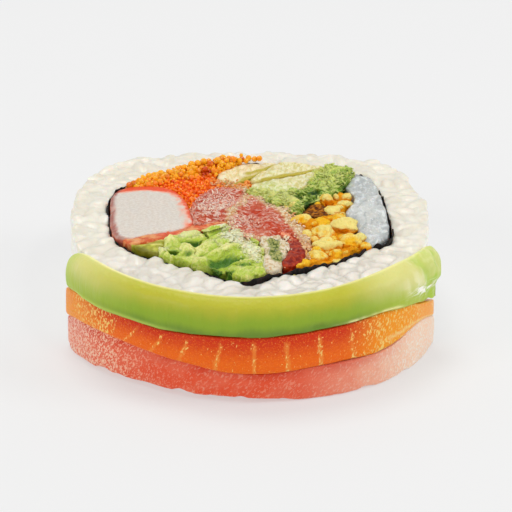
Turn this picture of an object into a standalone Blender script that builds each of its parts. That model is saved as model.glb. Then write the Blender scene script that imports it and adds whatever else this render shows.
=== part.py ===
"""A slice of futomaki, standing on one cut face with the other cut face up.

Pressed rice rings a loop of nori, and the nori is packed with sticks and heaps of filling that run
from one cut face to the other. Three toppings, avocado, salmon and tuna, wrap the front half of the
rice one above the other. Metres, +Z up, and -Y is the dressed front.
"""

import math
import random
from dataclasses import dataclass

import bmesh
import bpy
from mathutils import Matrix, Vector, noise

MM = 0.001
SLICE_HEIGHT = 17.2 * MM
GAP = 0.3 * MM
SEED = 7

NORI_THICKNESS = 0.5 * MM
NORI_LAP = 9 * MM
NORI_PROUD_BACK = 0.15 * MM
NORI_PROUD_FRONT = 0.75 * MM

GRAIN_AXES = (2.6 * MM, 1.25 * MM, 1.1 * MM)
GRAIN_SPACING_TOP = 3.8 * MM
GRAIN_SPACING_SIDE = 4.6 * MM
GRAIN_PROUD = 0.9 * MM
GRAIN_TILT = 0.25
RICE_CORE_DROP = 0.45 * MM
RICE_CORE_INSET = 0.5 * MM

ROE_RADIUS = 0.6 * MM
ROE_SPACING = 1.75 * MM
ROE_PILE = 2 * MM
ROE_PILE_REACH = 2.6 * MM
CRUMB_SPACING = 2.7 * MM
CROWN_REACH = 1.2 * MM

# Outlines in the plan, in millimetres.
RICE_OUTLINE = [
    (0, -28.8), (11, -26.4), (21, -19.8), (26.8, -11), (28.8, 0), (28, 12), (24.4, 21.6),
    (17, 27), (6, 28.5), (-6, 28.6), (-18, 27), (-25, 21), (-28.4, 11.8), (-29, 0),
    (-26.8, -11), (-20.6, -20.2), (-10.5, -26.6),
]
NORI_OUTLINE = [
    (-1, -23.6), (4.2, -20.7), (11, -17.6), (18, -11.8), (22.2, -7.8), (22.2, 0), (21.4, 9),
    (19.8, 16.4), (14.6, 20.4), (7, 22.9), (0, 23.4), (-8, 21.2), (-15, 17.9), (-20.4, 14.2),
    (-23, 8), (-22.8, 1.5), (-21.7, -6.6), (-17.4, -12.4), (-10, -17.4), (-4.6, -21),
]
SPLINE_STEPS = 2
BELOW = -3 * MM
ABOVE = SLICE_HEIGHT + 12 * MM


# The scene.

def clear_scene():
    for obj in list(bpy.data.objects):
        bpy.data.objects.remove(obj, do_unlink=True)


def new_collection(name, rendered):
    collection = bpy.data.collections.new(name)
    collection.hide_render = not rendered
    bpy.context.scene.collection.children.link(collection)
    return collection


def add_object(name, mesh, collection):
    obj = bpy.data.objects.new(name, mesh)
    collection.objects.link(obj)
    return obj


def discard(collection):
    for obj in list(collection.objects):
        bpy.data.objects.remove(obj, do_unlink=True)


def paint(obj, colour, roughness):
    """Gives a piece of food its own material."""
    material = bpy.data.materials.new(obj.name)
    material.use_nodes = True
    shader = material.node_tree.nodes["Principled BSDF"]
    shader.inputs["Base Color"].default_value = (*colour, 1)
    shader.inputs["Roughness"].default_value = roughness
    shader.inputs["Metallic"].default_value = 0
    obj.data.materials.clear()
    obj.data.materials.append(material)


# Plan curves. A loop is a list of 2D vectors in metres, anticlockwise.

def clamp(value, low=0.0, high=1.0):
    return max(low, min(high, value))


def spline_point(before, start, end, after, share):
    """A Catmull-Rom point between start and end."""
    square, cube = share**2, share**3
    return 0.5 * (
        2 * start
        + (end - before) * share
        + (2 * before - 5 * start + 4 * end - after) * square
        + (3 * start - before - 3 * end + after) * cube
    )


def smooth_loop(outline, steps=SPLINE_STEPS):
    """A closed smooth curve through an outline given in millimetres, turned anticlockwise."""
    corners = [Vector(point) * MM for point in outline]
    count = len(corners)
    if sum(corners[i - 1].cross(corners[i]) for i in range(count)) < 0:
        corners.reverse()
    return [
        spline_point(*(corners[(i + k) % count] for k in (-1, 0, 1, 2)), step / steps)
        for i in range(count)
        for step in range(steps)
    ]


def normals_of(loop):
    """Each point's outward direction."""
    count = len(loop)
    along = [(loop[(i + 1) % count] - loop[i - 1]).normalized() for i in range(count)]
    return [Vector((step.y, -step.x)) for step in along]


def grown(loop, distance):
    return [place + normal * distance for place, normal in zip(loop, normals_of(loop))]


def depth_inside(loop, place):
    """The distance from a place to the loop, positive inside it."""
    nearest, inside = math.inf, False
    for start, end in zip(loop, loop[1:] + loop[:1]):
        edge = end - start
        share = clamp((place - start).dot(edge) / edge.length_squared)
        nearest = min(nearest, (place - start - edge * share).length)
        if (start.y > place.y) != (end.y > place.y):
            crossing = start.x + (place.y - start.y) * edge.x / edge.y
            inside ^= place.x < crossing
    return nearest if inside else -nearest


def box_of(loop, margin):
    low = Vector((min(place.x for place in loop), min(place.y for place in loop)))
    high = Vector((max(place.x for place in loop), max(place.y for place in loop)))
    return low - Vector((margin, margin)), high + Vector((margin, margin))


def loops_meet(one, other):
    """Whether two loops' boxes come within a gap of each other."""
    low, high = box_of(one, GAP)
    other_low, other_high = box_of(other, GAP)
    return all(low[i] < other_high[i] and other_low[i] < high[i] for i in (0, 1))


def scattered(low, high, spacing, allowed, rng, tries=6000):
    """Places in a box, no closer than the spacing, found by seeded dart throwing."""
    places = []
    for _ in range(tries):
        place = Vector((rng.uniform(low[0], high[0]), rng.uniform(low[1], high[1])))
        if all((place - other).length > spacing for other in places) and allowed(place):
            places.append(place)
    return places


def side_table(loop):
    """Rows of (distance along the loop, place, outward normal), back to the first place."""
    rows, run = [], 0.0
    normals = normals_of(loop)
    for i, place in enumerate(loop):
        rows.append((run, place, normals[i]))
        run += (loop[(i + 1) % len(loop)] - place).length
    rows.append((run, loop[0], normals[0]))
    return rows


def side_point(rows, distance):
    """The place and outward normal at a distance along a side table."""
    for (near, start, start_normal), (far, end, end_normal) in zip(rows, rows[1:]):
        if distance <= far:
            share = (distance - near) / (far - near)
            return start.lerp(end, share), start_normal.lerp(end_normal, share).normalized()
    return rows[-1][1:]


def degrees_right(place):
    """The bearing of a place, from -180 to 180, 0 at the front and positive to the right."""
    return math.degrees(math.atan2(place.x, -place.y))


# Solids.

def mesh_from(bm, name):
    mesh = bpy.data.meshes.new(name)
    bm.to_mesh(mesh)
    bm.free()
    return mesh


def mesh_of_curve(outline, name, collection):
    """Turns a curve object into a welded mesh object, and removes the curve."""
    graph = bpy.context.evaluated_depsgraph_get()
    graph.update()
    bm = bmesh.new()
    bm.from_mesh(bpy.data.meshes.new_from_object(outline.evaluated_get(graph)))
    bmesh.ops.remove_doubles(bm, verts=bm.verts, dist=0.001 * MM)
    bmesh.ops.recalc_face_normals(bm, faces=bm.faces)
    bm.transform(outline.matrix_world)
    curve = outline.data
    bpy.data.objects.remove(outline)
    bpy.data.curves.remove(curve)
    return add_object(name, mesh_from(bm, name), collection)


def poly_curve(name, loop, collection):
    """A curve object with one straight-sided spline through the places of a loop or path."""
    curve = bpy.data.curves.new(name, "CURVE")
    spline = curve.splines.new("POLY")
    spline.points.add(len(loop) - 1)
    for knot, place in zip(spline.points, loop):
        knot.co = (place.x, place.y, 0, 1)
    return add_object(name + "_curve", curve, collection)


def prism(name, loop, bottom, top, collection):
    """A plan loop filled and extruded from bottom to top."""
    outline = poly_curve(name, loop, collection)
    outline.data.dimensions = "2D"
    outline.data.fill_mode = "BOTH"
    outline.data.extrude = (top - bottom) / 2
    outline.data.splines[0].use_cyclic_u = True
    outline.location.z = (bottom + top) / 2
    return mesh_of_curve(outline, name, collection)


def apply_modifiers(obj):
    graph = bpy.context.evaluated_depsgraph_get()
    graph.update()
    shaped = bpy.data.meshes.new_from_object(obj.evaluated_get(graph))
    obj.modifiers.clear()
    before, obj.data = obj.data, shaped
    bpy.data.meshes.remove(before)


def combine(obj, other, operation, solver="EXACT"):
    """Applies one Boolean of obj with another object, or with all of a collection."""
    modifier = obj.modifiers.new(operation.lower(), "BOOLEAN")
    modifier.operation = operation
    modifier.solver = solver
    if isinstance(other, bpy.types.Collection):
        modifier.operand_type = "COLLECTION"
        modifier.collection = other
    else:
        modifier.object = other
    apply_modifiers(obj)


def keep_inside(obj, loop, scratch):
    combine(obj, prism("keep", loop, BELOW, ABOVE, scratch), "INTERSECT")
    discard(scratch)


def cut_away(obj, loop, scratch):
    combine(obj, prism("cut", loop, BELOW, ABOVE, scratch), "DIFFERENCE")
    discard(scratch)


def fuse(obj, pieces):
    """Joins a heap of small pieces to obj by one union, and empties their collection."""
    combine(obj, pieces, "UNION", solver="MANIFOLD")
    discard(pieces)


def keep_largest(obj):
    """Drops the loose scraps that the cuts leave beside the main body."""
    bm = bmesh.new()
    bm.from_mesh(obj.data)
    unseen = set(bm.verts)
    bodies = []
    while unseen:
        body = [unseen.pop()]
        for vert in body:
            fresh = {edge.other_vert(vert) for edge in vert.link_edges} & unseen
            unseen -= fresh
            body.extend(sorted(fresh, key=lambda other: other.index))
        bodies.append(body)
    bodies.sort(key=len)
    for body in bodies[:-1]:
        bmesh.ops.delete(bm, geom=body, context="VERTS")
    bm.to_mesh(obj.data)
    bm.free()


def relief_block(low, high, step, height, collection):
    """A block whose upper side is the uneven surface that height(place) gives."""
    size, centre = high - low, (low + high) / 2
    columns, rows = (max(2, round(side / step)) for side in size)
    bm = bmesh.new()
    spread = Matrix.Translation((*centre, 0)) @ Matrix.Diagonal((size.x, size.y, 1, 1))
    bmesh.ops.create_grid(bm, x_segments=columns, y_segments=rows, size=0.5, matrix=spread)
    for vert in bm.verts:
        vert.co.z = height(vert.co.xy)
    bmesh.ops.triangulate(bm, faces=bm.faces)
    made = bmesh.ops.extrude_face_region(bm, geom=bm.faces[:], use_keep_orig=True)["geom"]
    for item in made:
        if isinstance(item, bmesh.types.BMVert):
            item.co.z = BELOW / 2
    bmesh.ops.recalc_face_normals(bm, faces=bm.faces)
    return add_object("relief", mesh_from(bm, "relief"), collection)


def grain(place, facing, flat_turn, tilt, collection):
    """A rice grain lying against a surface that faces some way."""
    lie = facing.to_track_quat("Z", "Y").to_matrix().to_4x4()
    turn = Matrix.Rotation(flat_turn, 4, "Z") @ Matrix.Rotation(tilt, 4, "Y")
    pose = Matrix.Translation(place) @ lie @ turn @ Matrix.Diagonal((*GRAIN_AXES, 1))
    bm = bmesh.new()
    bmesh.ops.create_uvsphere(bm, u_segments=5, v_segments=4, radius=1, matrix=pose)
    add_object("grain", mesh_from(bm, "grain"), collection)


def bead(place, axes, turn, collection):
    """A small lump with twenty sides."""
    pose = Matrix.Translation(place) @ Matrix.Rotation(turn, 4, "Z") @ Matrix.Diagonal((*axes, 1))
    bm = bmesh.new()
    bmesh.ops.create_icosphere(bm, subdivisions=1, radius=1, matrix=pose)
    add_object("bead", mesh_from(bm, "bead"), collection)


# The nori: one sheet rolled once round, its outer end lapping over the start on the right.

LAP_FIRST = 9  # the spline point where the sheet starts and its lap begins
LAP_RAMP = 2


def lap_rise(step, count):
    """How far the sheet stands outside its own first turn, as a share of the full lap."""
    return clamp((step - count + LAP_RAMP) / LAP_RAMP)


def nori_path(loop):
    """Centreline of the sheet: once round, then on over its own start."""
    normals = normals_of(loop)
    path, lapped, step = [], 0.0, 0
    while lapped < NORI_LAP:
        i = (LAP_FIRST + step) % len(loop)
        path.append(loop[i] + normals[i] * lap_rise(step, len(loop)) * (NORI_THICKNESS + GAP))
        if step > len(loop):
            lapped += (path[-1] - path[-2]).length
        step += 1
    return path


def nori_hole(loop):
    """The hole in the rice: the sheet's outside, lap included, and a gap."""
    hole = grown(loop, NORI_THICKNESS / 2 + GAP)
    normals = normals_of(loop)
    for step in range(len(loop) - LAP_RAMP, len(nori_path(loop))):
        i = (LAP_FIRST + step) % len(loop)
        hole[i] += normals[i] * lap_rise(step, len(loop)) * (NORI_THICKNESS + GAP)
    return hole


def nori_top(place):
    """The sheet's upper edge stands proud of the rice along the front right."""
    to_right = clamp((place.x + 4 * MM) / (10 * MM))
    to_front = clamp(-place.y / (10 * MM))
    share = to_right * to_front
    return SLICE_HEIGHT + NORI_PROUD_BACK * (1 - share) + NORI_PROUD_FRONT * share


def build_nori(loop, collection):
    """A ribbon standing on its edge along the path, given its thickness."""
    ribbon_curve = poly_curve("nori", nori_path(loop), collection)
    ribbon_curve.data.dimensions = "3D"
    ribbon_curve.data.extrude = SLICE_HEIGHT / 2
    nori = mesh_of_curve(ribbon_curve, "nori", collection)
    for vert in nori.data.vertices:
        vert.co.z = nori_top(vert.co.xy) if vert.co.z > 0 else 0
    wall = nori.modifiers.new("thickness", "SOLIDIFY")
    wall.thickness = NORI_THICKNESS
    wall.offset = 0
    wall.use_even_offset = True
    apply_modifiers(nori)
    paint(nori, (0.012, 0.014, 0.012), 0.5)


# The rice: a ring of pressed grains, bare at the back and flush behind the toppings in front.

BARE_FROM_DEG = 78
BARE_RAMP_DEG = 8


def bareness(place):
    """How far a place on the side is clear of the toppings, from 0 to 1."""
    return clamp((abs(degrees_right(place)) - BARE_FROM_DEG) / BARE_RAMP_DEG)


def top_grains(outline, hole, rng, scratch):
    core_top = SLICE_HEIGHT - RICE_CORE_DROP

    def on_ring(place):
        inside_rice = depth_inside(outline, place) > GRAIN_AXES[1]
        return inside_rice and depth_inside(hole, place) < -GRAIN_AXES[1]

    low, high = box_of(outline, 0)
    for place in scattered(low, high, GRAIN_SPACING_TOP, on_ring, rng):
        lift = rng.uniform(-0.15, 0.1) * MM
        turn, tilt = rng.uniform(0, math.pi), rng.uniform(-GRAIN_TILT, GRAIN_TILT)
        grain(Vector((*place, core_top + lift)), Vector((0, 0, 1)), turn, tilt, scratch)


def side_grains(outline, rng, scratch):
    rows = side_table(outline)

    def on_bare_side(place):
        return bareness(side_point(rows, place.x)[0]) > 0.5

    low, high = (0, 1.6 * MM), (rows[-1][0], SLICE_HEIGHT - 2 * MM)
    for along, height in scattered(low, high, GRAIN_SPACING_SIDE, on_bare_side, rng):
        place, normal = side_point(rows, along)
        place = place - normal * (RICE_CORE_INSET + rng.uniform(-0.1, 0.15) * MM)
        turn, tilt = rng.uniform(0, math.pi), rng.uniform(-GRAIN_TILT, GRAIN_TILT)
        grain(Vector((*place, height)), Vector((*normal, 0)), turn, tilt, scratch)


def build_rice(outline, hole, collection, scratch):
    rng = random.Random(SEED)
    core_top = SLICE_HEIGHT - RICE_CORE_DROP
    core = [
        place - normal * RICE_CORE_INSET * bareness(place)
        for place, normal in zip(outline, normals_of(outline))
    ]
    rice = prism("rice", core, 0, core_top, collection)
    top_grains(outline, hole, rng, scratch)
    side_grains(outline, rng, scratch)
    fuse(rice, scratch)
    reach = [
        place + normal * GRAIN_PROUD * bareness(place)
        for place, normal in zip(outline, normals_of(outline))
    ]
    combine(rice, prism("keep", reach, 0, ABOVE, scratch), "INTERSECT")
    discard(scratch)
    cut_away(rice, hole, scratch)
    keep_largest(rice)
    paint(rice, (0.85, 0.83, 0.78), 0.5)


# The fillings. Each is a column of its own outline with an uneven top. The first in the list keep
# their outlines, and each later one is cut back to a gap from those before it.

@dataclass
class Filling:
    name: str
    outline: list
    colour: tuple
    roughness: float = 0.4
    edge: float = 0.2  # height of the top's rim above the cut face, in mm
    crown: float = 0.3  # rise from the rim to the middle, in mm
    rough: float = 0.3  # height of the bumps, in mm
    bump_size: float = 3.0  # width of the bumps, in mm
    step: float = 1.8  # size of the surface's triangles, in mm
    lumps: str = ""  # what lies heaped on top: roe, crumbs or nothing

    def __post_init__(self):
        self.loop = smooth_loop(self.outline)

    def top(self, place):
        inside = max(0, depth_inside(self.loop, place))
        rise = self.crown * (1 - math.exp(-inside / CROWN_REACH))
        at = Vector((*place, 0)) / (self.bump_size * MM) + Vector((SEED, len(self.name), 0))
        return SLICE_HEIGHT + (self.edge + rise + self.rough * noise.noise(at)) * MM


FILLINGS = [
    Filling(
        "crab_stick",
        [(-22, 3), (-21.8, -2.5), (-20.6, -7.2), (-18, -7), (-14.6, -5.2), (-11, -4.1),
         (-9.1, -2.2), (-9.8, 2), (-10.6, 6.8), (-12.2, 10.6), (-14.6, 12.4), (-18.4, 12.9),
         (-21, 11.8), (-22.2, 8.4)],
        (0.86, 0.80, 0.76), edge=0.1, rough=0.15, bump_size=7, step=3,
    ),
    Filling(
        "crab_skin",
        [(-20.4, -8.6), (-18.4, -9.8), (-15, -8.4), (-12.2, -7.8), (-8, -5), (-4.2, -3),
         (-3.2, -1.4), (-5.4, -1.6), (-9, -3), (-12, -5), (-16, -6.3)],
        (0.86, 0.30, 0.18), crown=0.2, rough=0.2, bump_size=4,
    ),
    Filling(
        "white_fish",
        [(15.4, 1.8), (16.5, -1), (17.2, -4.4), (18.4, -10.6), (20.8, -9.6), (23, -7), (23, -1),
         (22.6, 5), (21.8, 11), (20.8, 16.6), (18.4, 18.8), (16.9, 16.6), (15.8, 12.6),
         (16.9, 9.5), (16.9, 6.4), (16, 4.2)],
        (0.66, 0.69, 0.70), roughness=0.3, edge=0.1, crown=0.5, rough=0.7, bump_size=4,
    ),
    Filling(
        "cucumber_back",
        [(-5.2, 18.6), (-4.6, 16.2), (-2.6, 15), (0.4, 17.6), (2.6, 20.2), (4.4, 22.6),
         (2.2, 23.6), (-1, 22.4)],
        (0.82, 0.80, 0.56), crown=0.2,
    ),
    Filling(
        "cucumber_middle",
        [(0, 16.2), (1.2, 15.2), (5.4, 16.8), (10, 19), (12.4, 20.6), (9, 22.6), (5, 22.7),
         (2.9, 20)],
        (0.78, 0.79, 0.50), edge=0.35, crown=0.2,
    ),
    Filling(
        "cucumber_front",
        [(0.2, 13.4), (1.4, 11.2), (4.4, 10.2), (7.2, 10), (9.2, 12.4), (10.4, 15.6),
         (11.2, 18.6), (7.2, 17.2), (3.4, 15.4)],
        (0.70, 0.78, 0.48), edge=0.35,
    ),
    Filling(
        "tuna_wedge",
        [(4.4, -6.2), (5.8, -6), (7.4, -8.2), (8.6, -11.2), (8.6, -14.2), (7.4, -17.8),
         (5.6, -18.6), (5, -17), (6.2, -12), (5.8, -9)],
        (0.52, 0.05, 0.04), roughness=0.3, edge=0.35, crown=0.2,
    ),
    Filling(
        "green_bean",
        [(1.6, -8.8), (3.4, -7.3), (5, -7.6), (5.9, -9.4), (6.1, -12), (5.3, -15),
         (4.7, -19.2), (2.6, -20.8), (2.2, -18), (2.3, -14), (1.8, -11)],
        (0.80, 0.70, 0.52), roughness=0.6, edge=0.4, rough=0.7, bump_size=1.6, step=1.4,
    ),
    Filling(
        "avocado_chunk",
        [(-19, -10), (-17.4, -9.4), (-14.4, -8.2), (-13.6, -10), (-14.4, -13.8), (-17.2, -13.4)],
        (0.42, 0.47, 0.08), edge=0.15, crown=0.2, rough=0.15,
    ),
    Filling(
        "shiitake",
        [(8.6, 2.6), (9.6, 0.8), (12.2, 0.6), (13, 2.2), (12.4, 4.6), (11.2, 6), (9.6, 5)],
        (0.25, 0.08, 0.02), roughness=0.5, edge=0.1, crown=0.2, rough=0.4, bump_size=2,
    ),
    Filling(
        "tuna_strip",
        [(-9.7, 1.4), (-8.6, -2.4), (-5, -1.2), (-3.6, -1.6), (-3, -3.6), (-1.4, -6),
         (0.2, -8.4), (1.8, -8.8), (3.4, -7.2), (5, -6), (7.2, -8), (8.6, -11), (8.8, -14.4),
         (9.4, -9.4), (8.6, -5), (7, -1.8), (6.2, 1.6), (4.6, 4.1), (2.4, 6), (0.4, 8.2),
         (-1.2, 10.4), (-4.4, 12.4), (-6.8, 11.2), (-8.6, 7.6)],
        (0.78, 0.26, 0.20), edge=0.3, crown=0.7, rough=0.8, bump_size=2, step=1.5,
    ),
    Filling(
        "lettuce_left",
        [(-18, -9), (-14, -8), (-11, -6.5), (-8, -5), (-7, -7), (-8.5, -11), (-9, -16),
         (-9.6, -19), (-14.5, -15.5), (-15.5, -12)],
        (0.33, 0.50, 0.10), rough=1.1, bump_size=2.6, step=1.5,
    ),
    Filling(
        "lettuce_middle",
        [(-8, -5), (-4.5, -1), (-2.5, -4), (0, -8), (2.3, -9), (2.6, -12), (2.4, -16.2),
         (-1.5, -16.6), (-4, -19.5), (-6, -22), (-9.4, -19), (-9, -16), (-8.5, -11), (-7, -7)],
        (0.50, 0.62, 0.20), rough=1.1, bump_size=2.8, step=1.5,
    ),
    Filling(
        "lettuce_front",
        [(-6, -22), (-4, -19.5), (-1.5, -16.6), (2.6, -16), (3.4, -20), (0, -25), (-4, -24)],
        (0.40, 0.56, 0.12), edge=0.4, rough=0.8, bump_size=2.4, step=1.4,
    ),
    Filling(
        "lettuce_back",
        [(-0.5, 10.6), (2.2, 7.4), (4.6, 4.6), (8, 2), (9.4, 4.8), (11.2, 7.4), (13.5, 9.8),
         (15.8, 12.4), (16.4, 16.4), (18, 19), (15, 22), (11, 20.8), (9.5, 15), (6.5, 10.4)],
        (0.14, 0.30, 0.06), edge=0.4, rough=1.2, bump_size=2.2, step=1.4,
    ),
    Filling(
        "roe",
        [(-22, 12), (-20.6, 12.8), (-17, 12.8), (-13, 10.6), (-11, 5.4), (-9.4, 3.6),
         (-6, 9.4), (-1, 9.6), (1.4, 10.6), (1.6, 14), (-1, 16.4), (-3.4, 16.8), (-3, 19),
         (2, 22.4), (2.6, 25), (-8, 23.4), (-18, 18.6)],
        (0.90, 0.25, 0.03), roughness=0.25, edge=-0.3, crown=0, step=2.4, lumps="roe",
    ),
    Filling(
        "crumbs",
        [(5.4, 3.4), (8, -2.6), (9.4, -9), (9, -14), (7, -18), (5, -21), (11, -19), (18, -14),
         (20, -11), (18, -7), (17, -1), (16, 2), (16.6, 8), (16.4, 11.6), (13.6, 10.6),
         (10.6, 8), (8.4, 7.6), (6.6, 7)],
        (0.90, 0.58, 0.10), roughness=0.5, edge=-0.3, crown=0.2, step=2.4, lumps="crumbs",
    ),
]


def heap_roe(filling, room, surface, rng, scratch):
    """Roe beads bedded in the heap, piled higher towards the nori."""
    low, high = box_of(filling.loop, 0)

    def in_heap(place):
        return depth_inside(filling.loop, place) > 0 and depth_inside(room, place) > 0

    for place in scattered(low, high, ROE_SPACING, in_heap, rng):
        lift = rng.uniform(-0.1, 0.25) * MM
        axes = [ROE_RADIUS] * 3
        bead(Vector((*place, surface(place) + lift)), axes, rng.uniform(0, math.pi), scratch)


def heap_crumbs(filling, room, surface, rng, scratch):
    """Lumps of crumb of mixed size, bedded in the heap."""
    low, high = box_of(filling.loop, 0)

    def in_heap(place):
        return depth_inside(filling.loop, place) > 0.4 * MM and depth_inside(room, place) > 0

    for place in scattered(low, high, CRUMB_SPACING, in_heap, rng):
        size = rng.uniform(1.1, 1.8) * MM
        axes = (size, size * rng.uniform(0.7, 0.95), size * rng.uniform(0.8, 1))
        bead(Vector((*place, surface(place))), axes, rng.uniform(0, math.pi), scratch)


def build_filling(filling, room, earlier, collection, scratch):
    """The filling's column, kept inside the nori and clear of the earlier fillings."""

    def surface(place):
        pile = 0
        if filling.lumps == "roe":
            pile = ROE_PILE * math.exp(-max(0, depth_inside(room, place)) / ROE_PILE_REACH)
        return filling.top(place) + pile

    column = prism(filling.name, filling.loop, 0, ABOVE, collection)
    low, high = box_of(filling.loop, 1 * MM)
    combine(column, relief_block(low, high, filling.step * MM, surface, scratch), "INTERSECT")
    discard(scratch)
    if filling.lumps:
        heap = {"roe": heap_roe, "crumbs": heap_crumbs}[filling.lumps]
        heap(filling, room, surface, random.Random(SEED), scratch)
        fuse(column, scratch)
    keep_inside(column, room, scratch)
    for neighbour in earlier:
        if loops_meet(filling.loop, neighbour.loop):
            cut_away(column, grown(neighbour.loop, GAP), scratch)
    keep_largest(column)
    paint(column, filling.colour, filling.roughness)


# The toppings: three slabs laid round the front of the rice, one above the other.

# Across a slab: shares of its thickness, outwards, and of its height, up.
SLAB_PROFILE = [
    (0, 0), (0, 0.5), (0, 1), (0.45, 1), (0.8, 0.9), (0.97, 0.68), (1, 0.42), (0.9, 0.16), (0.5, 0),
]
SLAB_SECTIONS = 22
SLAB_END = 0.15  # how thick and tall the very end of a slab is, as a share
SLAB_END_POWER = 10  # how short the rounding is at its ends


@dataclass
class Topping:
    name: str
    reach: tuple  # bearings of the two ends, left and right, in degrees
    thickness: tuple  # at the left end, the front and the right end, in mm
    bottom: tuple  # heights of the lower edge at the left end, the front and the right end
    top: tuple
    colour: tuple
    wave: float  # how unevenly thick the slab is, in mm


TOPPINGS = [
    Topping("avocado", (-69, 72), (2.2, 3.1, 3.0), (10.4, 10.8, 7.3), (17.1, 17.9, 17.5),
            (0.45, 0.53, 0.08), 0.2),
    Topping("salmon", (-71, 73), (1.7, 2.4, 1.9), (7.0, 4.8, 3.9), (10.1, 10.5, 7.0),
            (0.84, 0.22, 0.04), 0.15),
    Topping("tuna", (-71, 72), (1.7, 1.8, 1.7), (0, 0, 0), (6.7, 4.5, 3.6),
            (0.80, 0.24, 0.17), 0.2),
]


def blend(values, share):
    """A smooth run through three values, at share from 0 to 1."""
    start, middle, end = values
    side, limit = (1 - 2 * share, start) if share < 0.5 else (2 * share - 1, end)
    return middle + (limit - middle) * side**2


def build_topping(topping, rice_side, collection):
    """Lofts the slab's section round the rice, rounding it off at both ends."""
    front_half = [row for row in rice_side if abs(degrees_right(row[1])) < 90]
    bm = bmesh.new()
    rings = []
    for section in range(SLAB_SECTIONS):
        share = section / (SLAB_SECTIONS - 1)
        start, end = topping.reach
        bearing = start + (end - start) * (0.5 - 0.5 * math.cos(math.pi * share))
        place, normal = place_at_bearing(front_half, bearing)
        full = (1 - abs(2 * share - 1) ** SLAB_END_POWER) ** 0.5
        roundness = SLAB_END + (1 - SLAB_END) * full
        low, high = blend(topping.bottom, share) * MM, blend(topping.top, share) * MM
        if low > 0:
            low, high = shrink(low, high, roundness)
        else:
            high = low + (high - low) * (0.4 + 0.6 * roundness)
        wave = topping.wave * noise.noise(Vector((bearing / 9, len(topping.name), 0)))
        thick = (blend(topping.thickness, share) * (0.35 + 0.65 * roundness) + wave) * MM
        rings.append([
            bm.verts.new((*(place + normal * (GAP + thick * out)), low + (high - low) * up))
            for out, up in SLAB_PROFILE
        ])
    count = len(SLAB_PROFILE)
    for ring, following in zip(rings, rings[1:]):
        for i in range(count):
            j = (i + 1) % count
            bm.faces.new((ring[i], ring[j], following[j], following[i]))
    bm.faces.new(rings[0])
    bm.faces.new(reversed(rings[-1]))
    bmesh.ops.triangulate(bm, faces=bm.faces)
    bmesh.ops.recalc_face_normals(bm, faces=bm.faces)
    slab = add_object(topping.name, mesh_from(bm, topping.name), collection)
    paint(slab, topping.colour, 0.3)


def shrink(low, high, share):
    middle, half = (low + high) / 2, (high - low) / 2
    return middle - half * share, middle + half * share


def place_at_bearing(rows, bearing):
    """The place and outward normal on the rice's side at a bearing from the front."""
    rows = sorted(rows, key=lambda row: degrees_right(row[1]))
    for (_, start, start_normal), (_, end, end_normal) in zip(rows, rows[1:]):
        near, far = degrees_right(start), degrees_right(end)
        if near <= bearing <= far:
            share = (bearing - near) / (far - near)
            return start.lerp(end, share), start_normal.lerp(end_normal, share).normalized()
    return rows[-1][1:]


def stand_on_origin(collection):
    """Carries every piece on one empty, moved so that the slice stands centred on the origin."""
    pieces = list(collection.objects)
    corners = [vert.co for piece in pieces for vert in piece.data.vertices]
    low, high = box_of([corner.xy for corner in corners], 0)
    carrier = add_object("slice_centre", None, collection)
    carrier.location = (*(-(low + high) / 2), 0)
    for piece in pieces:
        piece.parent = carrier


def main():
    clear_scene()
    futomaki = new_collection("futomaki", rendered=True)
    scratch = new_collection("cutters", rendered=False)
    rice_loop, nori_loop = smooth_loop(RICE_OUTLINE, 3), smooth_loop(NORI_OUTLINE)
    build_rice(rice_loop, nori_hole(nori_loop), futomaki, scratch)
    build_nori(nori_loop, futomaki)
    room = grown(nori_loop, -NORI_THICKNESS / 2 - GAP)
    for i, filling in enumerate(FILLINGS):
        build_filling(filling, room, FILLINGS[:i], futomaki, scratch)
    for topping in TOPPINGS:
        build_topping(topping, side_table(rice_loop), futomaki)
    stand_on_origin(futomaki)


main()
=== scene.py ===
import math
from collections import Counter
from itertools import product

import bmesh
import bpy
import numpy as np
from mathutils import Matrix, Vector
from mathutils.kdtree import KDTree


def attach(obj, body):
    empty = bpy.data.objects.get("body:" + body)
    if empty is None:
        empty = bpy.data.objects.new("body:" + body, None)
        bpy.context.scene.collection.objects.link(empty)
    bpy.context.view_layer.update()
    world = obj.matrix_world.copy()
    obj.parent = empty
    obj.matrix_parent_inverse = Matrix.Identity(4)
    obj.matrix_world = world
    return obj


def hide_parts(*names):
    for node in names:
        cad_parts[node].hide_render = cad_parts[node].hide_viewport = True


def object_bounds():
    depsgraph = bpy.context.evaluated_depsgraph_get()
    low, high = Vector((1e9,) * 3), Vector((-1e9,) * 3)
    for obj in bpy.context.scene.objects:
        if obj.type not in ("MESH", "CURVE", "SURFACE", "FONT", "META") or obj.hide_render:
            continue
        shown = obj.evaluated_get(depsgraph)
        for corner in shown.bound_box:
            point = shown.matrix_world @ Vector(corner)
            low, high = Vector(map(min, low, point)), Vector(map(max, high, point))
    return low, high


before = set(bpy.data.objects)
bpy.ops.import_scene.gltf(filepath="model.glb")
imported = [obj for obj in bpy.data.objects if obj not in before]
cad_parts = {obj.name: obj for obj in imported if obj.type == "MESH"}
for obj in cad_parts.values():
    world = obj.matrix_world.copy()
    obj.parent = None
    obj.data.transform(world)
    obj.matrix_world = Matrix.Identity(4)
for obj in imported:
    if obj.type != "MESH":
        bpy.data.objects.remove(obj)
solid_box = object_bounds()


# The rice: short grains about 5 mm long, boiled, seasoned and pressed by hand round the nori while
# warm, so that they run together into one soft white ring. The knife leaves the grains of both cut
# faces nearly flush, and the bare back and sides keep whole grains.

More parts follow.
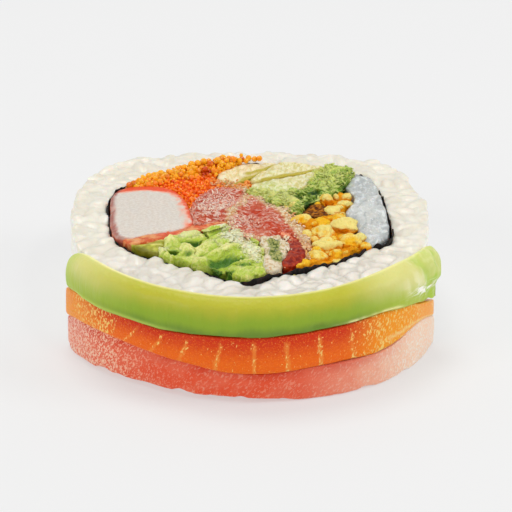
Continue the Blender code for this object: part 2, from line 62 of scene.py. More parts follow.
# All sizes in this file are in millimetres, and every plan is drawn round its own centre.
MM = 0.001
THICK = 17.2
PLAN_SHIFT = np.array((-0.208, 1.32))
RICE_EDGE = [
    (0, -28.8), (11, -26.4), (21, -19.8), (26.8, -11), (28.8, 0), (28, 12), (24.4, 21.6),
    (17, 27), (6, 28.5), (-6, 28.6), (-18, 27), (-25, 21), (-28.4, 11.8), (-29, 0),
    (-26.8, -11), (-20.6, -20.2), (-10.5, -26.6),
]
NORI_LINE = [
    (-1, -23.6), (4.2, -20.7), (11, -17.6), (18, -11.8), (22.2, -7.8), (22.2, 0), (21.4, 9),
    (19.8, 16.4), (14.6, 20.4), (7, 22.9), (0, 23.4), (-8, 21.2), (-15, 17.9), (-20.4, 14.2),
    (-23, 8), (-22.8, 1.5), (-21.7, -6.6), (-17.4, -12.4), (-10, -17.4), (-4.6, -21),
]
GRAIN = (2.5, 1.25, 1.1)  # half the length, width and depth of a cooked grain
TOP_GRAIN_GAP = 2.0
SIDE_GRAIN_GAP = 2.2
GRAIN_DEEP, SIDE_GRAIN_DEEP = 0.85, 0.98  # from the outside to the middles of the grains
CORE_SUNK = 0.5  # how far the core lies below the outside of the grains
CORE_FINENESS = 0.36
TOPPED = 76  # the toppings hide the sides up to this bearing, in degrees from the front
HOLE_GAP = 0.1  # from the middle of the nori to the rice
UP = (0, 0, 1)


def rounded(corners, steps):
    """A closed smooth curve through corners, with some steps from each to the next."""
    before, start, end, after = (np.roll(corners, -k, axis=0)[:, None] for k in (-1, 0, 1, 2))
    share = np.linspace(0, 1, steps, endpoint=False)[:, None]
    curve = 2 * start + (end - before) * share
    curve = curve + (2 * before - 5 * start + 4 * end - after) * share**2
    curve = curve + (3 * start - before - 3 * end + after) * share**3
    return curve.reshape(-1, 2) / 2


def smooth_loop(corners, count):
    """The curve through corners of the plan, as evenly spaced points, anticlockwise."""
    curve = rounded(np.array(corners, float) + PLAN_SHIFT, 24)
    run = np.r_[0, np.cumsum(np.linalg.norm(np.diff(np.r_[curve, curve[:1]], axis=0), axis=1))]
    even = np.linspace(0, run[-1], count, endpoint=False)
    return np.stack([np.interp(even, run, np.r_[side, side[:1]]) for side in curve.T], axis=1)


def outward(loop):
    """The way out from a loop at each of its points."""
    along = np.roll(loop, -1, axis=0) - np.roll(loop, 1, axis=0)
    return np.stack((along[:, 1], -along[:, 0]), axis=1) / np.linalg.norm(along, axis=1)[:, None]


def gap_to(spots, start, end):
    """How far spots of the plan are from a straight line."""
    edge = np.subtract(end, start)
    share = np.clip((spots - start) @ edge / (edge @ edge), 0, 1)
    return np.linalg.norm(spots - start - share[:, None] * edge, axis=1)


def depth_inside(loop, spots):
    """How far inside a loop each spot of the plan is, and negative outside it."""
    nearest, inside = np.full(len(spots), np.inf), np.zeros(len(spots), bool)
    for start, end in zip(loop, np.roll(loop, -1, axis=0)):
        nearest = np.minimum(nearest, gap_to(spots, start, end))
        crosses = (start[1] > spots[:, 1]) != (end[1] > spots[:, 1])
        with np.errstate(divide="ignore", invalid="ignore"):
            at = start[0] + (spots[:, 1] - start[1]) * (end[0] - start[0]) / (end[1] - start[1])
        inside ^= crosses & (spots[:, 0] < at)
    return np.where(inside, nearest, -nearest)


def ramp(value, start, end):
    """0 before the start, 1 past the end, and a smooth run between; the start may be the higher."""
    share = np.clip((value - start) / (end - start), 0, 1)
    return share * share * (3 - 2 * share)


def bell(value, middle, width):
    """1 at the middle, fading to 0 on both sides."""
    return np.exp(-(((value - middle) / width) ** 2))


def unevenness(points, size, seed):
    """Smooth noise from -1 to 1 at each point, in lumps about as wide as size."""
    lattice = np.random.default_rng(seed).uniform(-1, 1, (32, 32, 32))
    spots = points / size + seed
    corner = np.floor(spots).astype(int)
    share = spots - corner
    share = share * share * (3 - 2 * share)
    total = np.zeros(len(points))
    for step in product((0, 1), repeat=3):
        i, j, k = ((corner + step) % 32).T
        total += lattice[i, j, k] * np.prod(np.where(step, share, 1 - share), axis=1)
    return total


def rough(points, *waves):
    """Unevenness of several sizes together: each wave has its size, seed and depth."""
    return sum(unevenness(points, size, seed) * depth for size, seed, depth in waves)


def ring_faces(rows, columns):
    """Quads that join rows of points, each row closed on itself, and the last row to the first."""
    row, column = np.meshgrid(np.arange(rows), np.arange(columns), indexing="ij")
    ahead, right = (row + 1) % rows * columns, (column + 1) % columns
    quads = [row * columns + column, row * columns + right, ahead + right, ahead + column]
    return np.stack([quad.ravel() for quad in quads], axis=1)


class Wire:
    """A shader socket that can stand in a sum. Each sign adds the Math node that works it out."""

    def __init__(self, finish, socket):
        self.finish, self.socket = finish, socket

    def maths(self, operation, *values):
        return self.finish.node("Math", {"operation": operation}, dict(enumerate(values)))

    def __add__(self, other):
        return self.maths("ADD", self, other)

    def __sub__(self, other):
        return self.maths("SUBTRACT", self, other)

    def __rsub__(self, other):
        return self.maths("SUBTRACT", other, self)

    def __mul__(self, other):
        return self.maths("MULTIPLY", self, other)

    __radd__, __rmul__ = __add__, __mul__

    def between(self, low, high):
        """0 up to low, 1 from high, and a smooth run between them."""
        settings = {"interpolation_type": "SMOOTHSTEP"}
        return self.finish.node("MapRange", settings, {0: self, 1: low, 2: high, 3: 0, 4: 1})


def tint(colour):
    """A colour as seen on a screen, 0 to 255, in the shader's own light values. A wire stays."""
    if isinstance(colour, Wire):
        return colour
    seen = [value / 255 for value in colour]
    return (*(v / 12.92 if v <= 0.04045 else ((v + 0.055) / 1.055) ** 2.4 for v in seen), 1)


class Finish:
    """The finish of one food: nodes round a Principled shader."""

    def __init__(self, name, roughness, glow=0.4, glow_depth=1.0, coat=0.0, gloss=0.4):
        self.material = bpy.data.materials.new(name)
        self.material.use_nodes = True
        self.tree = self.material.node_tree
        self.shader = self.tree.nodes["Principled BSDF"]
        self.set("Roughness", roughness)
        self.set("Specular IOR Level", gloss)
        self.set("Subsurface Weight", glow)
        self.set("Subsurface Radius", (1, 0.7, 0.5))
        self.set("Subsurface Scale", glow_depth * MM)
        self.set("Coat Weight", coat)
        self.set("Coat Roughness", 0.12)
        self.place = self.node("TexCoord", {}, {}, out="Object")

    def plug(self, socket, value):
        if isinstance(value, Wire):
            self.tree.links.new(value.socket, socket)
        else:
            socket.default_value = value

    def set(self, socket, value):
        self.plug(self.shader.inputs[socket], value)

    def node(self, kind, settings, sockets, out=0):
        """Adds a node, sets it up, then gives its sockets their values or wires."""
        node = self.tree.nodes.new("ShaderNode" + kind)
        for setting, value in settings.items():
            setattr(node, setting, value)
        for socket, value in sockets.items():
            self.plug(node.inputs[socket], value)
        return Wire(self, node.outputs[out])

    def cloud(self, size, detail=2.0, drawn_out=None, twist=0.0, tilt=0):
        """Soft noise from about 0.3 to 0.7, in patches as wide as size.

        They can be drawn out along the axes that have small values, which are first tilted by some
        degrees about the one from front to back.
        """
        place = self.place
        if drawn_out:
            tilted, scale = (0, math.radians(tilt), 0), [1 / value for value in drawn_out]
            sockets = {"Vector": place, "Rotation": tilted, "Scale": scale}
            place = self.node("Mapping", {"vector_type": "TEXTURE"}, sockets)
        sockets = {"Vector": place, "Scale": 1 / (size * MM), "Detail": detail, "Distortion": twist}
        return self.node("TexNoise", {}, sockets)

    def mask(self, name):
        return self.node("Attribute", {"attribute_name": name}, {}, out="Fac")

    def frayed(self, name, noise, amount, low, high):
        """A mask with its edge broken up by some noise."""
        return (self.mask(name) + (noise - 0.5) * amount).between(low, high)

    def mix(self, ground, *coats):
        """Coats of colour over a ground: each has its colour and how much of it shows."""
        for colour, share in coats:
            sockets = {0: share, 6: tint(ground), 7: tint(colour)}
            ground = self.node("Mix", {"data_type": "RGBA"}, sockets, out=2)
        return ground

    def paint(self, ground, *coats):
        self.set("Base Color", self.mix(ground, *coats))

    def relief(self, height, depth):
        """Fine relief, a bump of the given depth."""
        self.set("Normal", self.node("Bump", {}, {"Height": height, "Distance": depth * MM, "Strength": 1}))


def serve(name, node, finish, points, faces, slot=None, **masks):
    """Makes one piece of food and sets it in the slice in place of its solid.

    A mask has a value for each point, or for each of the small shapes that the piece is made of.
    """
    low, high = (np.array(corner) for corner in solid_box)
    mesh = bpy.data.meshes.new(name)
    mesh.from_pydata(np.clip(points.reshape(-1, 3) * MM, low, high), [], faces)
    mesh.shade_smooth()
    for mask, values in masks.items():
        layer = mesh.attributes.new(mask, "FLOAT", "POINT")
        values = np.repeat(np.clip(values, 0, 1), len(mesh.vertices) // len(values))
        layer.data.foreach_set("value", values.astype(np.float32))
    mesh.materials.append(finish.material)
    piece = bpy.data.objects.new(name, mesh)
    bpy.context.scene.collection.objects.link(piece)
    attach(piece, "root")
    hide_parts(node)


def plan(points):
    """Where points are in the plan."""
    return points[:, :2] - PLAN_SHIFT


def bearing(points):
    """Degrees round from the front of the slice, positive to the right, from -180 to 180."""
    x, y = plan(points).T
    return np.degrees(np.arctan2(x, -y))


def reach_at(loop, angles):
    """How far a loop is from the plan's centre at some bearings."""
    order = np.argsort(bearing(loop))
    return np.interp(angles, bearing(loop)[order], np.linalg.norm(plan(loop), axis=1)[order], period=360)


def kept_apart(spots, gap):
    """The spots that stay when each keeps its distance from those before it."""
    kept = np.empty_like(spots)
    count = 0
    for spot in spots:
        if count == 0 or np.min(((kept[:count] - spot) ** 2).sum(axis=1)) > gap**2:
            kept[count] = spot
            count += 1
    return kept[:count]


def shape_of(bm):
    """A small shape's points and faces, as arrays."""
    points = np.array([vert.co for vert in bm.verts])
    faces = np.array([[vert.index for vert in face.verts] for face in bm.faces])
    bm.free()
    return points, faces


def ball(around, along):
    """A ball of radius 1 with its poles on the x axis, in triangles."""
    bm = bmesh.new()
    pose = Matrix.Rotation(math.pi / 2, 4, "Y")
    bmesh.ops.create_uvsphere(bm, u_segments=around, v_segments=along, radius=1, matrix=pose)
    bmesh.ops.triangulate(bm, faces=bm.faces)
    return shape_of(bm)


def strewn(shapes, faces, spots, facing, spin):
    """A copy of a small shape at each spot, turned about the way it faces, all joined."""
    up = np.broadcast_to(facing / np.linalg.norm(facing, axis=-1, keepdims=True), spots.shape)
    side = np.cross(up, np.where(np.abs(up[:, :1]) < 0.8, (1, 0, 0), (0, 1, 0)))
    side /= np.linalg.norm(side, axis=1, keepdims=True)
    fore = np.cross(up, side)
    cos, sin = np.cos(spin)[:, None], np.sin(spin)[:, None]
    axes = np.stack((side * cos + fore * sin, fore * cos - side * sin, up), axis=1)
    points = np.einsum("gni,gij->gnj", shapes, axes) + spots[:, None]
    first = np.arange(len(spots)) * shapes.shape[1]
    return points, (faces[None] + first[:, None, None]).reshape(-1, faces.shape[1])


def read(mesh, what):
    """Where a mesh's points are, or which way they face."""
    values = np.empty(len(mesh.vertices) * 3)
    mesh.vertices.foreach_get(what, values)
    return values.reshape(-1, 3)


def melted(mesh, fineness, rounds):
    """A mesh's shapes run together under one even skin: its points, faces and outward normals."""
    scratch = bpy.data.objects.new("scratch", mesh)
    bpy.context.scene.collection.objects.link(scratch)
    remesh = scratch.modifiers.new("skin", "REMESH")
    remesh.mode = "VOXEL"
    remesh.voxel_size = fineness * MM
    scratch.modifiers.new("soften", "SMOOTH").iterations = rounds
    graph = bpy.context.evaluated_depsgraph_get()
    graph.update()
    skin = scratch.evaluated_get(graph).data
    result = read(skin, "co") / MM, [face.vertices[:] for face in skin.polygons], read(skin, "normal")
    bpy.data.objects.remove(scratch)
    bpy.data.meshes.remove(mesh)
    return result


def grain_seams(points, grains, tail, head):
    """How clear of its next grain each point's own grain is, and which grain that is.

    Each grain is known by its middle line, from its tail point to its head point.
    """
    marks = KDTree(len(grains) * 4)
    for number, shape in enumerate(grains):
        for share in (0.2, 0.4, 0.6, 0.8):
            marks.insert(shape[tail] * (1 - share) + shape[head] * share, number)
    marks.balance()
    clear, owner = np.full(len(points), 2.0), np.zeros(len(points), int)
    for k, point in enumerate(points):
        (_, owner[k], nearest), *others = marks.find_n(point, 7)
        for _, number, distance in others:
            if number != owner[k]:
                clear[k] = distance - nearest
                break
    return clear, owner


rice_loop, nori_loop = smooth_loop(RICE_EDGE, 400), smooth_loop(NORI_LINE, 460)
rice_out = np.c_[outward(rice_loop), np.zeros(len(rice_loop))]
rice_hole = nori_loop + outward(nori_loop) * HOLE_GAP

# the core, sunk below the grains but not where the toppings lie against it
angles = np.linspace(-180, 180, 420, endpoint=False)
outer = reach_at(rice_loop, angles) - CORE_SUNK * ramp(np.abs(angles), 74, 82)
inner = reach_at(rice_hole, angles)
low, high = CORE_SUNK, THICK - CORE_SUNK
section = [(1, low + (high - low) * k / 14) for k in range(14)] + [(1 - k / 12, high) for k in range(12)]
section += [(0, high + (low - high) * k / 5) for k in range(5)] + [(k / 12, low) for k in range(12)]
share, height = np.array(section).T
far = inner[:, None] + (outer - inner)[:, None] * share
turn = np.radians(angles)[:, None]
core = np.stack((far * np.sin(turn), -far * np.cos(turn), far * 0 + height), axis=2).reshape(-1, 3)
core[:, :2] += PLAN_SHIFT
core_faces = ring_faces(len(angles), len(section))[:, ::-1]

# the grains: on the upper face, on the lower face and round the bare sides
rng = np.random.default_rng(11)
tries = rng.uniform(-31, 31, (9000, 2)) + PLAN_SHIFT
tries = tries[(depth_inside(rice_loop, tries) > 0.7) & (depth_inside(rice_hole, tries) < -0.6)]
tops, bottoms = kept_apart(tries, TOP_GRAIN_GAP), kept_apart(tries[::-1], TOP_GRAIN_GAP)
steps = rng.integers(0, len(rice_loop), 6000)
steps = steps[np.abs(bearing(rice_loop[steps])) > TOPPED]
tries = np.c_[rice_loop[steps], rng.uniform(1.0, THICK - 1.0, len(steps))]
sides = kept_apart(tries - rice_out[steps] * SIDE_GRAIN_DEEP, SIDE_GRAIN_GAP)
side_out = rice_out[np.argmin(np.abs(bearing(sides)[:, None] - bearing(rice_loop)), axis=1)]
spots = np.r_[
    np.c_[tops, THICK - GRAIN_DEEP + rng.uniform(-0.25, 0.2, len(tops))],
    np.c_[bottoms, GRAIN_DEEP + rng.uniform(-0.1, 0.3, len(bottoms))],
    sides - side_out * rng.uniform(-0.15, 0.15, (len(sides), 1)),
]
facing = np.r_[np.tile(UP, (len(tops), 1)), -np.tile(UP, (len(bottoms), 1)), side_out]
facing = facing + rng.normal(0, 0.2, facing.shape)
grain, grain_faces = ball(10, 8)
count = len(spots)
x, y, z = grain.T
plump = 1 - 0.14 * x * rng.uniform(0.2, 1, (count, 1))  # one end is blunter
bend = 0.16 * rng.uniform(-0.4, 1, (count, 1)) * x**2
sizes = np.array(GRAIN) * rng.uniform(0.8, 1.1, (count, 1)) * rng.uniform(0.93, 1.07, (count, 3))
grains = np.stack((x * np.ones((count, 1)), y * plump + bend, z * plump), axis=2) * sizes[:, None]
grains, faces = strewn(grains, grain_faces, spots, facing, rng.uniform(0, 2 * math.pi, count))
cut = THICK + rng.uniform(-0.3, 0.1, (count, 1))
grains[:, :, 2] -= np.maximum(grains[:, :, 2] - cut, 0) * 0.75  # the knife flattens each grain
heap = bpy.data.meshes.new("heap")
heap.from_pydata(
    np.r_[core, grains.reshape(-1, 3)] * MM, [], core_faces.tolist() + (faces + len(core)).tolist())
points, faces, normals = melted(heap, CORE_FINENESS, 3)

clear, owner = grain_seams(points, grains, np.argmin(x), np.argmax(x))
seam = ramp(clear, 0.6, 0)
tone = rng.uniform(0, 1, count)[owner]
# the front of the rice, where the grains are pressed and wetter: it is painted greyer, partly as painted shade,
# and the painted gap shade is darker there
pressed = ramp(np.abs(bearing(points)), 80, 40)
bold = 0.42 + 0.5 * bell(bearing(points), 30, 35)  # they stand out most at the front right
points -= normals * (seam * 0.24 * bold - unevenness(points, 0.9, 12) * 0.06)[:, None]
away = plan(points)
reach = np.linalg.norm(away, axis=1)
over = np.maximum(reach - reach_at(rice_loop, bearing(points)) + 0.15, 0) * 0.75  # patted smooth outside
over -= np.maximum(reach_at(rice_hole, bearing(points)) - reach, 0) * 0.95  # and pressed flat on the nori
points[:, :2] -= away / reach[:, None] * over[:, None]
# painted shade: the gaps between the grains and the deeper parts are painted a darker grey, most at the front
# right and the front tip
sunk = np.minimum(np.minimum(THICK - points[:, 2], points[:, 2]), depth_inside(rice_loop, points[:, :2]))
upper = ramp(normals[:, 2], 0.2, 0.8)
# painted shade: the gaps between the grains are darkened more at the front tip
tip = bell(plan(points), (0.4, -25.6), (3.2, 2.2)).prod(axis=1) * upper

rice = Finish("rice", 0.36, glow=0.5, coat=0.25)
tone_share = rice.mask("tone") * 0.7 + rice.cloud(4, 3).between(0.35, 0.7) * 0.3
whole = rice.mix((254, 252, 245), ((246, 243, 231), tone_share))
cut_face = rice.mix((240, 235, 221), ((227, 221, 203), tone_share))
# greyer at the front: partly wetter pressed grains, partly painted shade
pressed_face = rice.mix((242, 236, 227), ((216, 209, 196), tone_share))
cut_face = rice.mix(cut_face, (pressed_face, rice.mask("pressed") * 0.9))
# painted shade: a darker grey in the gaps between the grains
rice.paint(whole, (cut_face, rice.mask("cut")), ((196, 189, 174), rice.mask("sunk")))
rice.relief(rice.cloud(0.5, 3), 0.1)
serve("rice_ring", "rice", rice, points, faces, pressed=pressed, tone=tone, cut=upper,
      sunk=np.maximum(ramp(sunk + tip * 0.35, 0.4, 1.1), seam * bold * 0.75) * (0.4 + 0.5 * pressed))


# The nori: one sheet of pressed, toasted seaweed rolled once round the fillings, its end lapped over
# its start on the right and stuck by the damp rice. It is crinkled, and its cut edge is torn. It
# stands proud of the rice at the front right, and the rice nearly hides it elsewhere.

NORI_THICK = 0.3
LAP = 8.0
LAP_RISE = 0.24
LAP_START = (22.0, -2.6)
LEVELS = (0, 0.3, 1, 2, 4, 7, 10, 13, 15, 16.2, 16.7, 17.0, 17.2)

nori = Finish("nori", 0.5, glow=0.0, coat=0.05, gloss=0.15)
weave = nori.cloud(0.5, 3, (1, 1, 0.4))
nori.paint((8, 6, 7), ((58, 34, 30), weave.between(0.45, 0.75)))
nori.relief(weave, 0.25)

length = np.linalg.norm(np.diff(nori_loop, axis=0), axis=1).sum()
around = len(nori_loop)
steps = np.arange(around + int(around * LAP / length))
turned = (steps + np.argmin(np.linalg.norm(nori_loop - LAP_START, axis=1))) % around
normal = outward(nori_loop)[turned]
line = nori_loop[turned] + normal * LAP_RISE * ramp(steps / around * length, length - LAP, length)[:, None]
x, y = plan(line).T
front_right = np.interp(x, (-3, 1, 5, 9, 17, 20, 23), (0, 0.85, 1, 0.75, 0.65, 0.25, 0)) * ramp(-y, 3, 9)
left_corner = bell(x, -21, 2.6) * bell(y, 13.2, 2.6)
right_side = ramp(x, 17, 21) * (1 - front_right)
front_left = ramp(-x, 2, 5) * ramp(-y, 2, 6)
up = np.r_[LEVELS, LEVELS[::-1]]
side = np.repeat((1.0, -1.0), len(LEVELS))
all_over, torn_at = np.c_[np.repeat(line, len(up), axis=0), np.tile(up, len(line))], np.c_[line, line[:, 0] * 0]
crinkle = rough(all_over, (1.3, 21, 0.1), (4, 22, 0.12))
torn = rough(torn_at, (0.7, 23, 0.3), (2.2, 24, 0.3)) * (1 + right_side)
proud = -0.4 + 0.5 * front_right + 0.6 * left_corner + 0.4 * right_side - 0.2 * front_left
proud -= 0.7 * ramp(steps, around - 4, around + 8)  # the end that laps over stays lower
width = 0.85 + 0.7 * unevenness(torn_at, 0.9, 25) + 0.4 * front_right + 0.5 * left_corner
width = NORI_THICK / 2 * np.clip(width - 0.6 * right_side - 0.3 * front_left, 0.35, 3)
width *= np.clip(0.2 + np.minimum(steps, len(steps) - 1 - steps) / 3, 0, 1)
thin = np.where((up < 0.2) | (up > 17.1), 0.55, 1)
out = side * thin * width[:, None] + crinkle.reshape(len(line), -1)
z = up + (proud + torn)[:, None] * ramp(up, 12, THICK)
sheet = np.concatenate((line[:, None] + normal[:, None] * out[:, :, None], z[:, :, None]), axis=2)
last = (len(steps) - 1) * len(up)
caps = np.array([[k, k + 1, len(up) - 2 - k, len(up) - 1 - k] for k in range(len(LEVELS) - 1)])
faces = np.r_[ring_faces(len(steps), len(up))[:last, ::-1], caps[:, ::-1], caps + last]
serve("nori_sheet", "nori", nori, sheet, faces)


# The crab stick: white surimi pressed from fine threads that run along the roll, with a coat of red
# colouring outside. It is cut square through, so its end is smooth, and the red bleeds inwards.

TALL = (-5, 2.2, 14.6, 40)  # heights that a column is squeezed from while its skin is made
SQUAT = (-5, 2.2, 3.6, 29)
SWELL = 0.13  # each filling is pressed out towards its neighbours, nearly to touch


def skin_of(node, fineness=0.2, rounds=3, swell=SWELL):
    """A node's solid under an even fine skin: its points, faces, outward normals and depth in plan.

    The column is squeezed between its cut faces meanwhile, because its walls are hidden there.
    """
    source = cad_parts[node].data
    mesh = source.copy()
    for vert in mesh.vertices:
        vert.co.z = np.interp(vert.co.z / MM, TALL, SQUAT) * MM
    points, faces, normals = melted(mesh, fineness, rounds)
    points += normals * swell
    points[:, 2] = np.interp(points[:, 2], SQUAT, TALL)

    spots = [tuple(round(c / MM, 3) for c in vert.co) for vert in source.vertices]
    rim = Counter()
    for face in source.polygons:
        corners = [spots[i] for i in face.vertices]
        if max(corner[2] for corner in corners) < 0.01:
            rim.update(frozenset((a[:2], b[:2])) for a, b in zip(corners, corners[1:] + corners[:1]))
    gaps = [gap_to(points[:, :2], *edge) for edge, count in rim.items() if count == 1]
    return points, faces, normals, np.min(gaps, axis=0)


def near(points, x, y, size, length=1.0, lean=0.0):
    """1 at a spot of the plan and fading to 0 round it, in an oval drawn out along lean degrees."""
    away, turn = plan(points) - (x, y), math.radians(lean)
    along = away @ (math.cos(turn), math.sin(turn))
    return bell(along, 0, size * length) * bell(away @ (-math.sin(turn), math.cos(turn)), 0, size)


def beside(points, width, *line):
    """1 on a line of the plan from spot to spot, fading to 0 beside it."""
    return sum(bell(gap_to(plan(points), *ends), 0, width) for ends in zip(line, line[1:]))


stick = Finish("crab_stick", 0.42, coat=0.1, gloss=0.25)
threads = stick.cloud(0.45, 3, (1, 1, 0.1), 0.5)
stick.paint(
    (212, 202, 190), ((222, 215, 205), threads.between(0.38, 0.66)),
    ((238, 170, 146), stick.frayed("red", threads, 0.35, 0.08, 0.5)),
    ((232, 82, 38), stick.frayed("red", threads, 0.35, 0.32, 0.8)),
    # painted shade: dark red-brown along the left edge, against the nori
    ((150, 62, 52), stick.mask("dark_edge") * 0.85))
stick.relief(threads, 0.1)

points, faces, normals, depth = skin_of("crab_stick", 0.3, swell=0.2)
x, y = plan(points).T
top_edge, left_edge = ramp(y + x * 0.05, 8, 10.5), ramp(-x, 18.5, 21)
right_edge = ramp(x + y * 0.23, -12.8, -10.4)
ragged = depth + rough(points, (0.7, 33, 0.35), (2.2, 34, 0.3))
coated = right_edge * (0.3 * ramp(ragged, 0.9, 0) + 0.42 * ramp(ragged, 3.2, -0.2))
coated = np.maximum(top_edge * ramp(ragged, 3.6, 0.9), coated)
coated += right_edge * unevenness(points * (1, 0.5, 1), 0.35, 35) * 0.3 * ramp(depth, 4, 1)
coated = np.maximum(coated, left_edge * 0.28 * ramp(ragged, 1, 0))
# painted shade along the left edge, where the stick lies against the nori
dark_edge = left_edge * ramp(depth + unevenness(points, 0.8, 36) * 0.15, 0.4, 0)
points += normals * rough(points, (2.2, 31, 0.08), (0.6, 32, 0.045))[:, None]
points[:, 0] -= 0.4 * ramp(-normals[:, 0], 0.3, 0.9) * left_edge  # pressed against the nori
serve("surimi_stick", "crab_stick", stick, points, faces, dark_edge=dark_edge,
      red=np.maximum(coated, ramp(np.abs(normals[:, 2]), 0.5, 0.1) * 0.55))


# The strip of red skin: the outside of the crab stick, peeled off and lying crumpled along its
# foot. It is orange and pink, with pale threads of the stick still on it, and one redder scrap of
# it hangs over the leaves below.

def folds(points, size, seed):
    """Like unevenness, but in sharp crests with round hollows between them."""
    return 1 - 2.6 * np.abs(unevenness(points, size, seed))


def scrap(place, turn, length, width, arch=0.35, ruffle=0.5, thick=0.2, tip=0.0, seed=0):
    """A thin wavy flake: points, faces and how near each point is to its edge.

    It lies at a place of the plan, given with its height, turned in degrees, half as long and wide
    as given from its middle. Its middle is arched, its edge ruffled, and tip lifts its far end.
    """
    u, v = np.meshgrid(np.linspace(-1, 1, 25), np.linspace(-1, 1, 13), indexing="ij")
    x, y = u * np.sqrt(1 - v**2 / 2), v * np.sqrt(1 - u**2 / 2)
    rim = np.hypot(x, y).ravel()
    flat = np.c_[x.ravel() * length, y.ravel() * width, np.full(x.size, seed * 3.7)]
    grown = 1 + 0.2 * unevenness(flat, 1.1, 7)
    z = place[2] + arch * (1 - rim**2) + ruffle * rim * unevenness(flat, 1.0, 8) + tip * x.ravel()
    half = thick / 2 * np.sqrt(np.clip(1.05 - rim**6, 0.05, 1))
    cos, sin = math.cos(math.radians(turn)), math.sin(math.radians(turn))
    spots = (flat[:, :2] * grown[:, None]) @ ((cos, sin), (-sin, cos)) + PLAN_SHIFT + place[:2]
    index = np.arange(x.size).reshape(x.shape)
    quads = np.stack((index[:-1, :-1], index[1:, :-1], index[1:, 1:], index[:-1, 1:]), axis=2).reshape(-1, 4)
    border = np.r_[index[:, 0], index[-1, 1:], index[-2::-1, -1], index[0, -2:0:-1]]
    ahead = np.roll(border, -1)
    sides = np.c_[border, border + x.size, ahead + x.size, ahead]
    points = np.r_[np.c_[spots, z + half], np.c_[spots, z - half]]
    return points, np.r_[quads, quads[:, ::-1] + x.size, sides], np.r_[rim, rim]


def joined(*shapes):
    """Some shapes' points, faces and masks as one: each shape is (points, faces, mask, ...)."""
    first = np.cumsum([0] + [len(points) for points, *_ in shapes])
    faces = np.concatenate([np.asarray(shape[1]) + start for shape, start in zip(shapes, first)])
    points, *masks = [np.concatenate(column) for column in zip(*((s[0], *s[2:]) for s in shapes))]
    return (points, faces, *masks)


skin = Finish("crab_skin", 0.4, glow_depth=0.8, coat=0.1, gloss=0.25)
blots = skin.cloud(1.0, 3, twist=0.6)
skin.paint((208, 94, 46), ((228, 158, 100), blots.between(0.42, 0.62)), ((232, 84, 44), skin.mask("red")))
skin.relief(skin.cloud(0.5, 3), 0.2)

points, faces, normals, depth = skin_of("crab_skin", 0.18, 2)
points += normals * (unevenness(points, 1.6, 41) * 0.2 + folds(points, 0.9, 42) * 0.06)[:, None]
red = near(points, -13.2, -6.2, 1.1, 1.6, 20) + near(points, -8, -3.4, 0.6, 2.2, 30) * 0.6
drip = scrap((-12.6, -8.2, 17.7), -76, 2.1, 0.5, arch=0.3, ruffle=0.2, thick=0.26, tip=-0.25, seed=1)
points, faces, red = joined((points, faces, red), (*drip[:2], 0.85 - drip[2] * 0.4))
serve("surimi_skin", "crab_skin", skin, points, faces, red=red)


# The white fish: a raw strip, wet and nearly clear, lying against the nori on the right. Fine white
# fibres show in it, and the knife has left its end lumpy.

fish = Finish("white_fish", 0.22, glow=0.5, glow_depth=1.2, coat=0.5, gloss=0.5)
fibres = fish.cloud(0.8, 5, (1, 0.45, 1), 0.3)
glints = fish.cloud(0.25, 2, (1, 0.5, 1)).between(0.62, 0.7)
crest = fish.mask("crest")
# painted light and shade: the lumps' crests are lighter grey with white glints, and the edges darker
fish.paint(
    (164, 170, 170), ((210, 212, 207), crest), ((236, 239, 238), fibres.between(0.5, 0.66) * 0.65),
    ((140, 146, 148), (1 - fibres).between(0.54, 0.68) * 0.5), ((252, 253, 252), glints * crest))
fish.relief(fibres, 0.22)

points, faces, normals, depth = skin_of("white_fish", 0.24)
points[:, 0] += 0.12 * ramp(normals[:, 0], 0.2, 0.8)  # pressed against the nori
flat = points * (1, 0.5, 1)
crest = folds(flat, 3.4, 52) * 0.25 + unevenness(flat, 1.8, 51) * 0.6
points += normals * (crest * 0.4 + rough(flat, (0.9, 54, 0.12), (0.4, 53, 0.03)))[:, None]
# painted light and shade: a lighter spot in the middle, and darker towards the edges
crest += near(points, 19.4, 2, 1.8, 3, 90) * 0.45 - np.exp(-depth / 0.45) * 0.6
serve("fish_strip", "white_fish", fish, points, faces, crest=0.55 + crest * 0.7)


# The cucumber: three pale slabs cut lengthwise, with watery flesh and an olive rim of skin. They lean
# on each other towards the back of the roll.

cucumber = Finish("cucumber", 0.34, glow=0.5, glow_depth=1.2, coat=0.2, gloss=0.3)
pips = cucumber.cloud(0.6, 4, (1, 0.5, 1), 0.6)
fresh = cucumber.mix((198, 202, 110), ((232, 232, 184), pips.between(0.36, 0.62)))
cucumber.paint(
    (224, 202, 138), ((244, 232, 194), pips.between(0.36, 0.62)), (fresh, cucumber.mask("green")),
    ((188, 172, 56), cucumber.frayed("rim", pips, 0.9, 0.35, 0.95)))
cucumber.relief(pips, 0.28)

for place, green in (("back", 0.0), ("middle", 0.42), ("front", 0.5)):
    points, faces, normals, depth = skin_of("cucumber_" + place)
    x, y = (points - (points.min(axis=0) + points.max(axis=0)) / 2)[:, :2].T
    rim = np.exp(-depth / 0.5) * (0.3 + 0.55 * ramp(x * 0.5 - y, -0.5, 2.0))
    rim += beside(points, 0.6, (-0.5, 18.6), (4.6, 21.8)) * 0.9
    rim += beside(points, 0.55, (2.4, 15.4), (10.6, 19.4)) * 0.8
    rim += near(points, -0.6, 16.6, 1.2) * 0.8
    green = green + unevenness(points, 3, 63) * 0.25 + near(points, 2.0, 11.4, 3, 1.4, 30) * 0.9
    # it dips towards the roe
    points[:, 2] -= ramp(points[:, 2], 14, THICK) * near(points, -3.2, 16.5, 3.4, 1.4, 40) * 0.5
    bumps = rough(points, (2.2, 61, 0.16), (0.7, 62, 0.08)) + folds(points, 1.3, 64) * 0.06
    points += normals * bumps[:, None]
    serve("cucumber_slab_" + place, "cucumber_" + place, cucumber, points, faces, "cucumber",
          rim=rim, green=green)


# The tuna wedge: a thin crescent of lean red tuna, dark and wet, between the green stalk and the
# crumbs. It grows lighter upwards, where it runs into the battered strip.

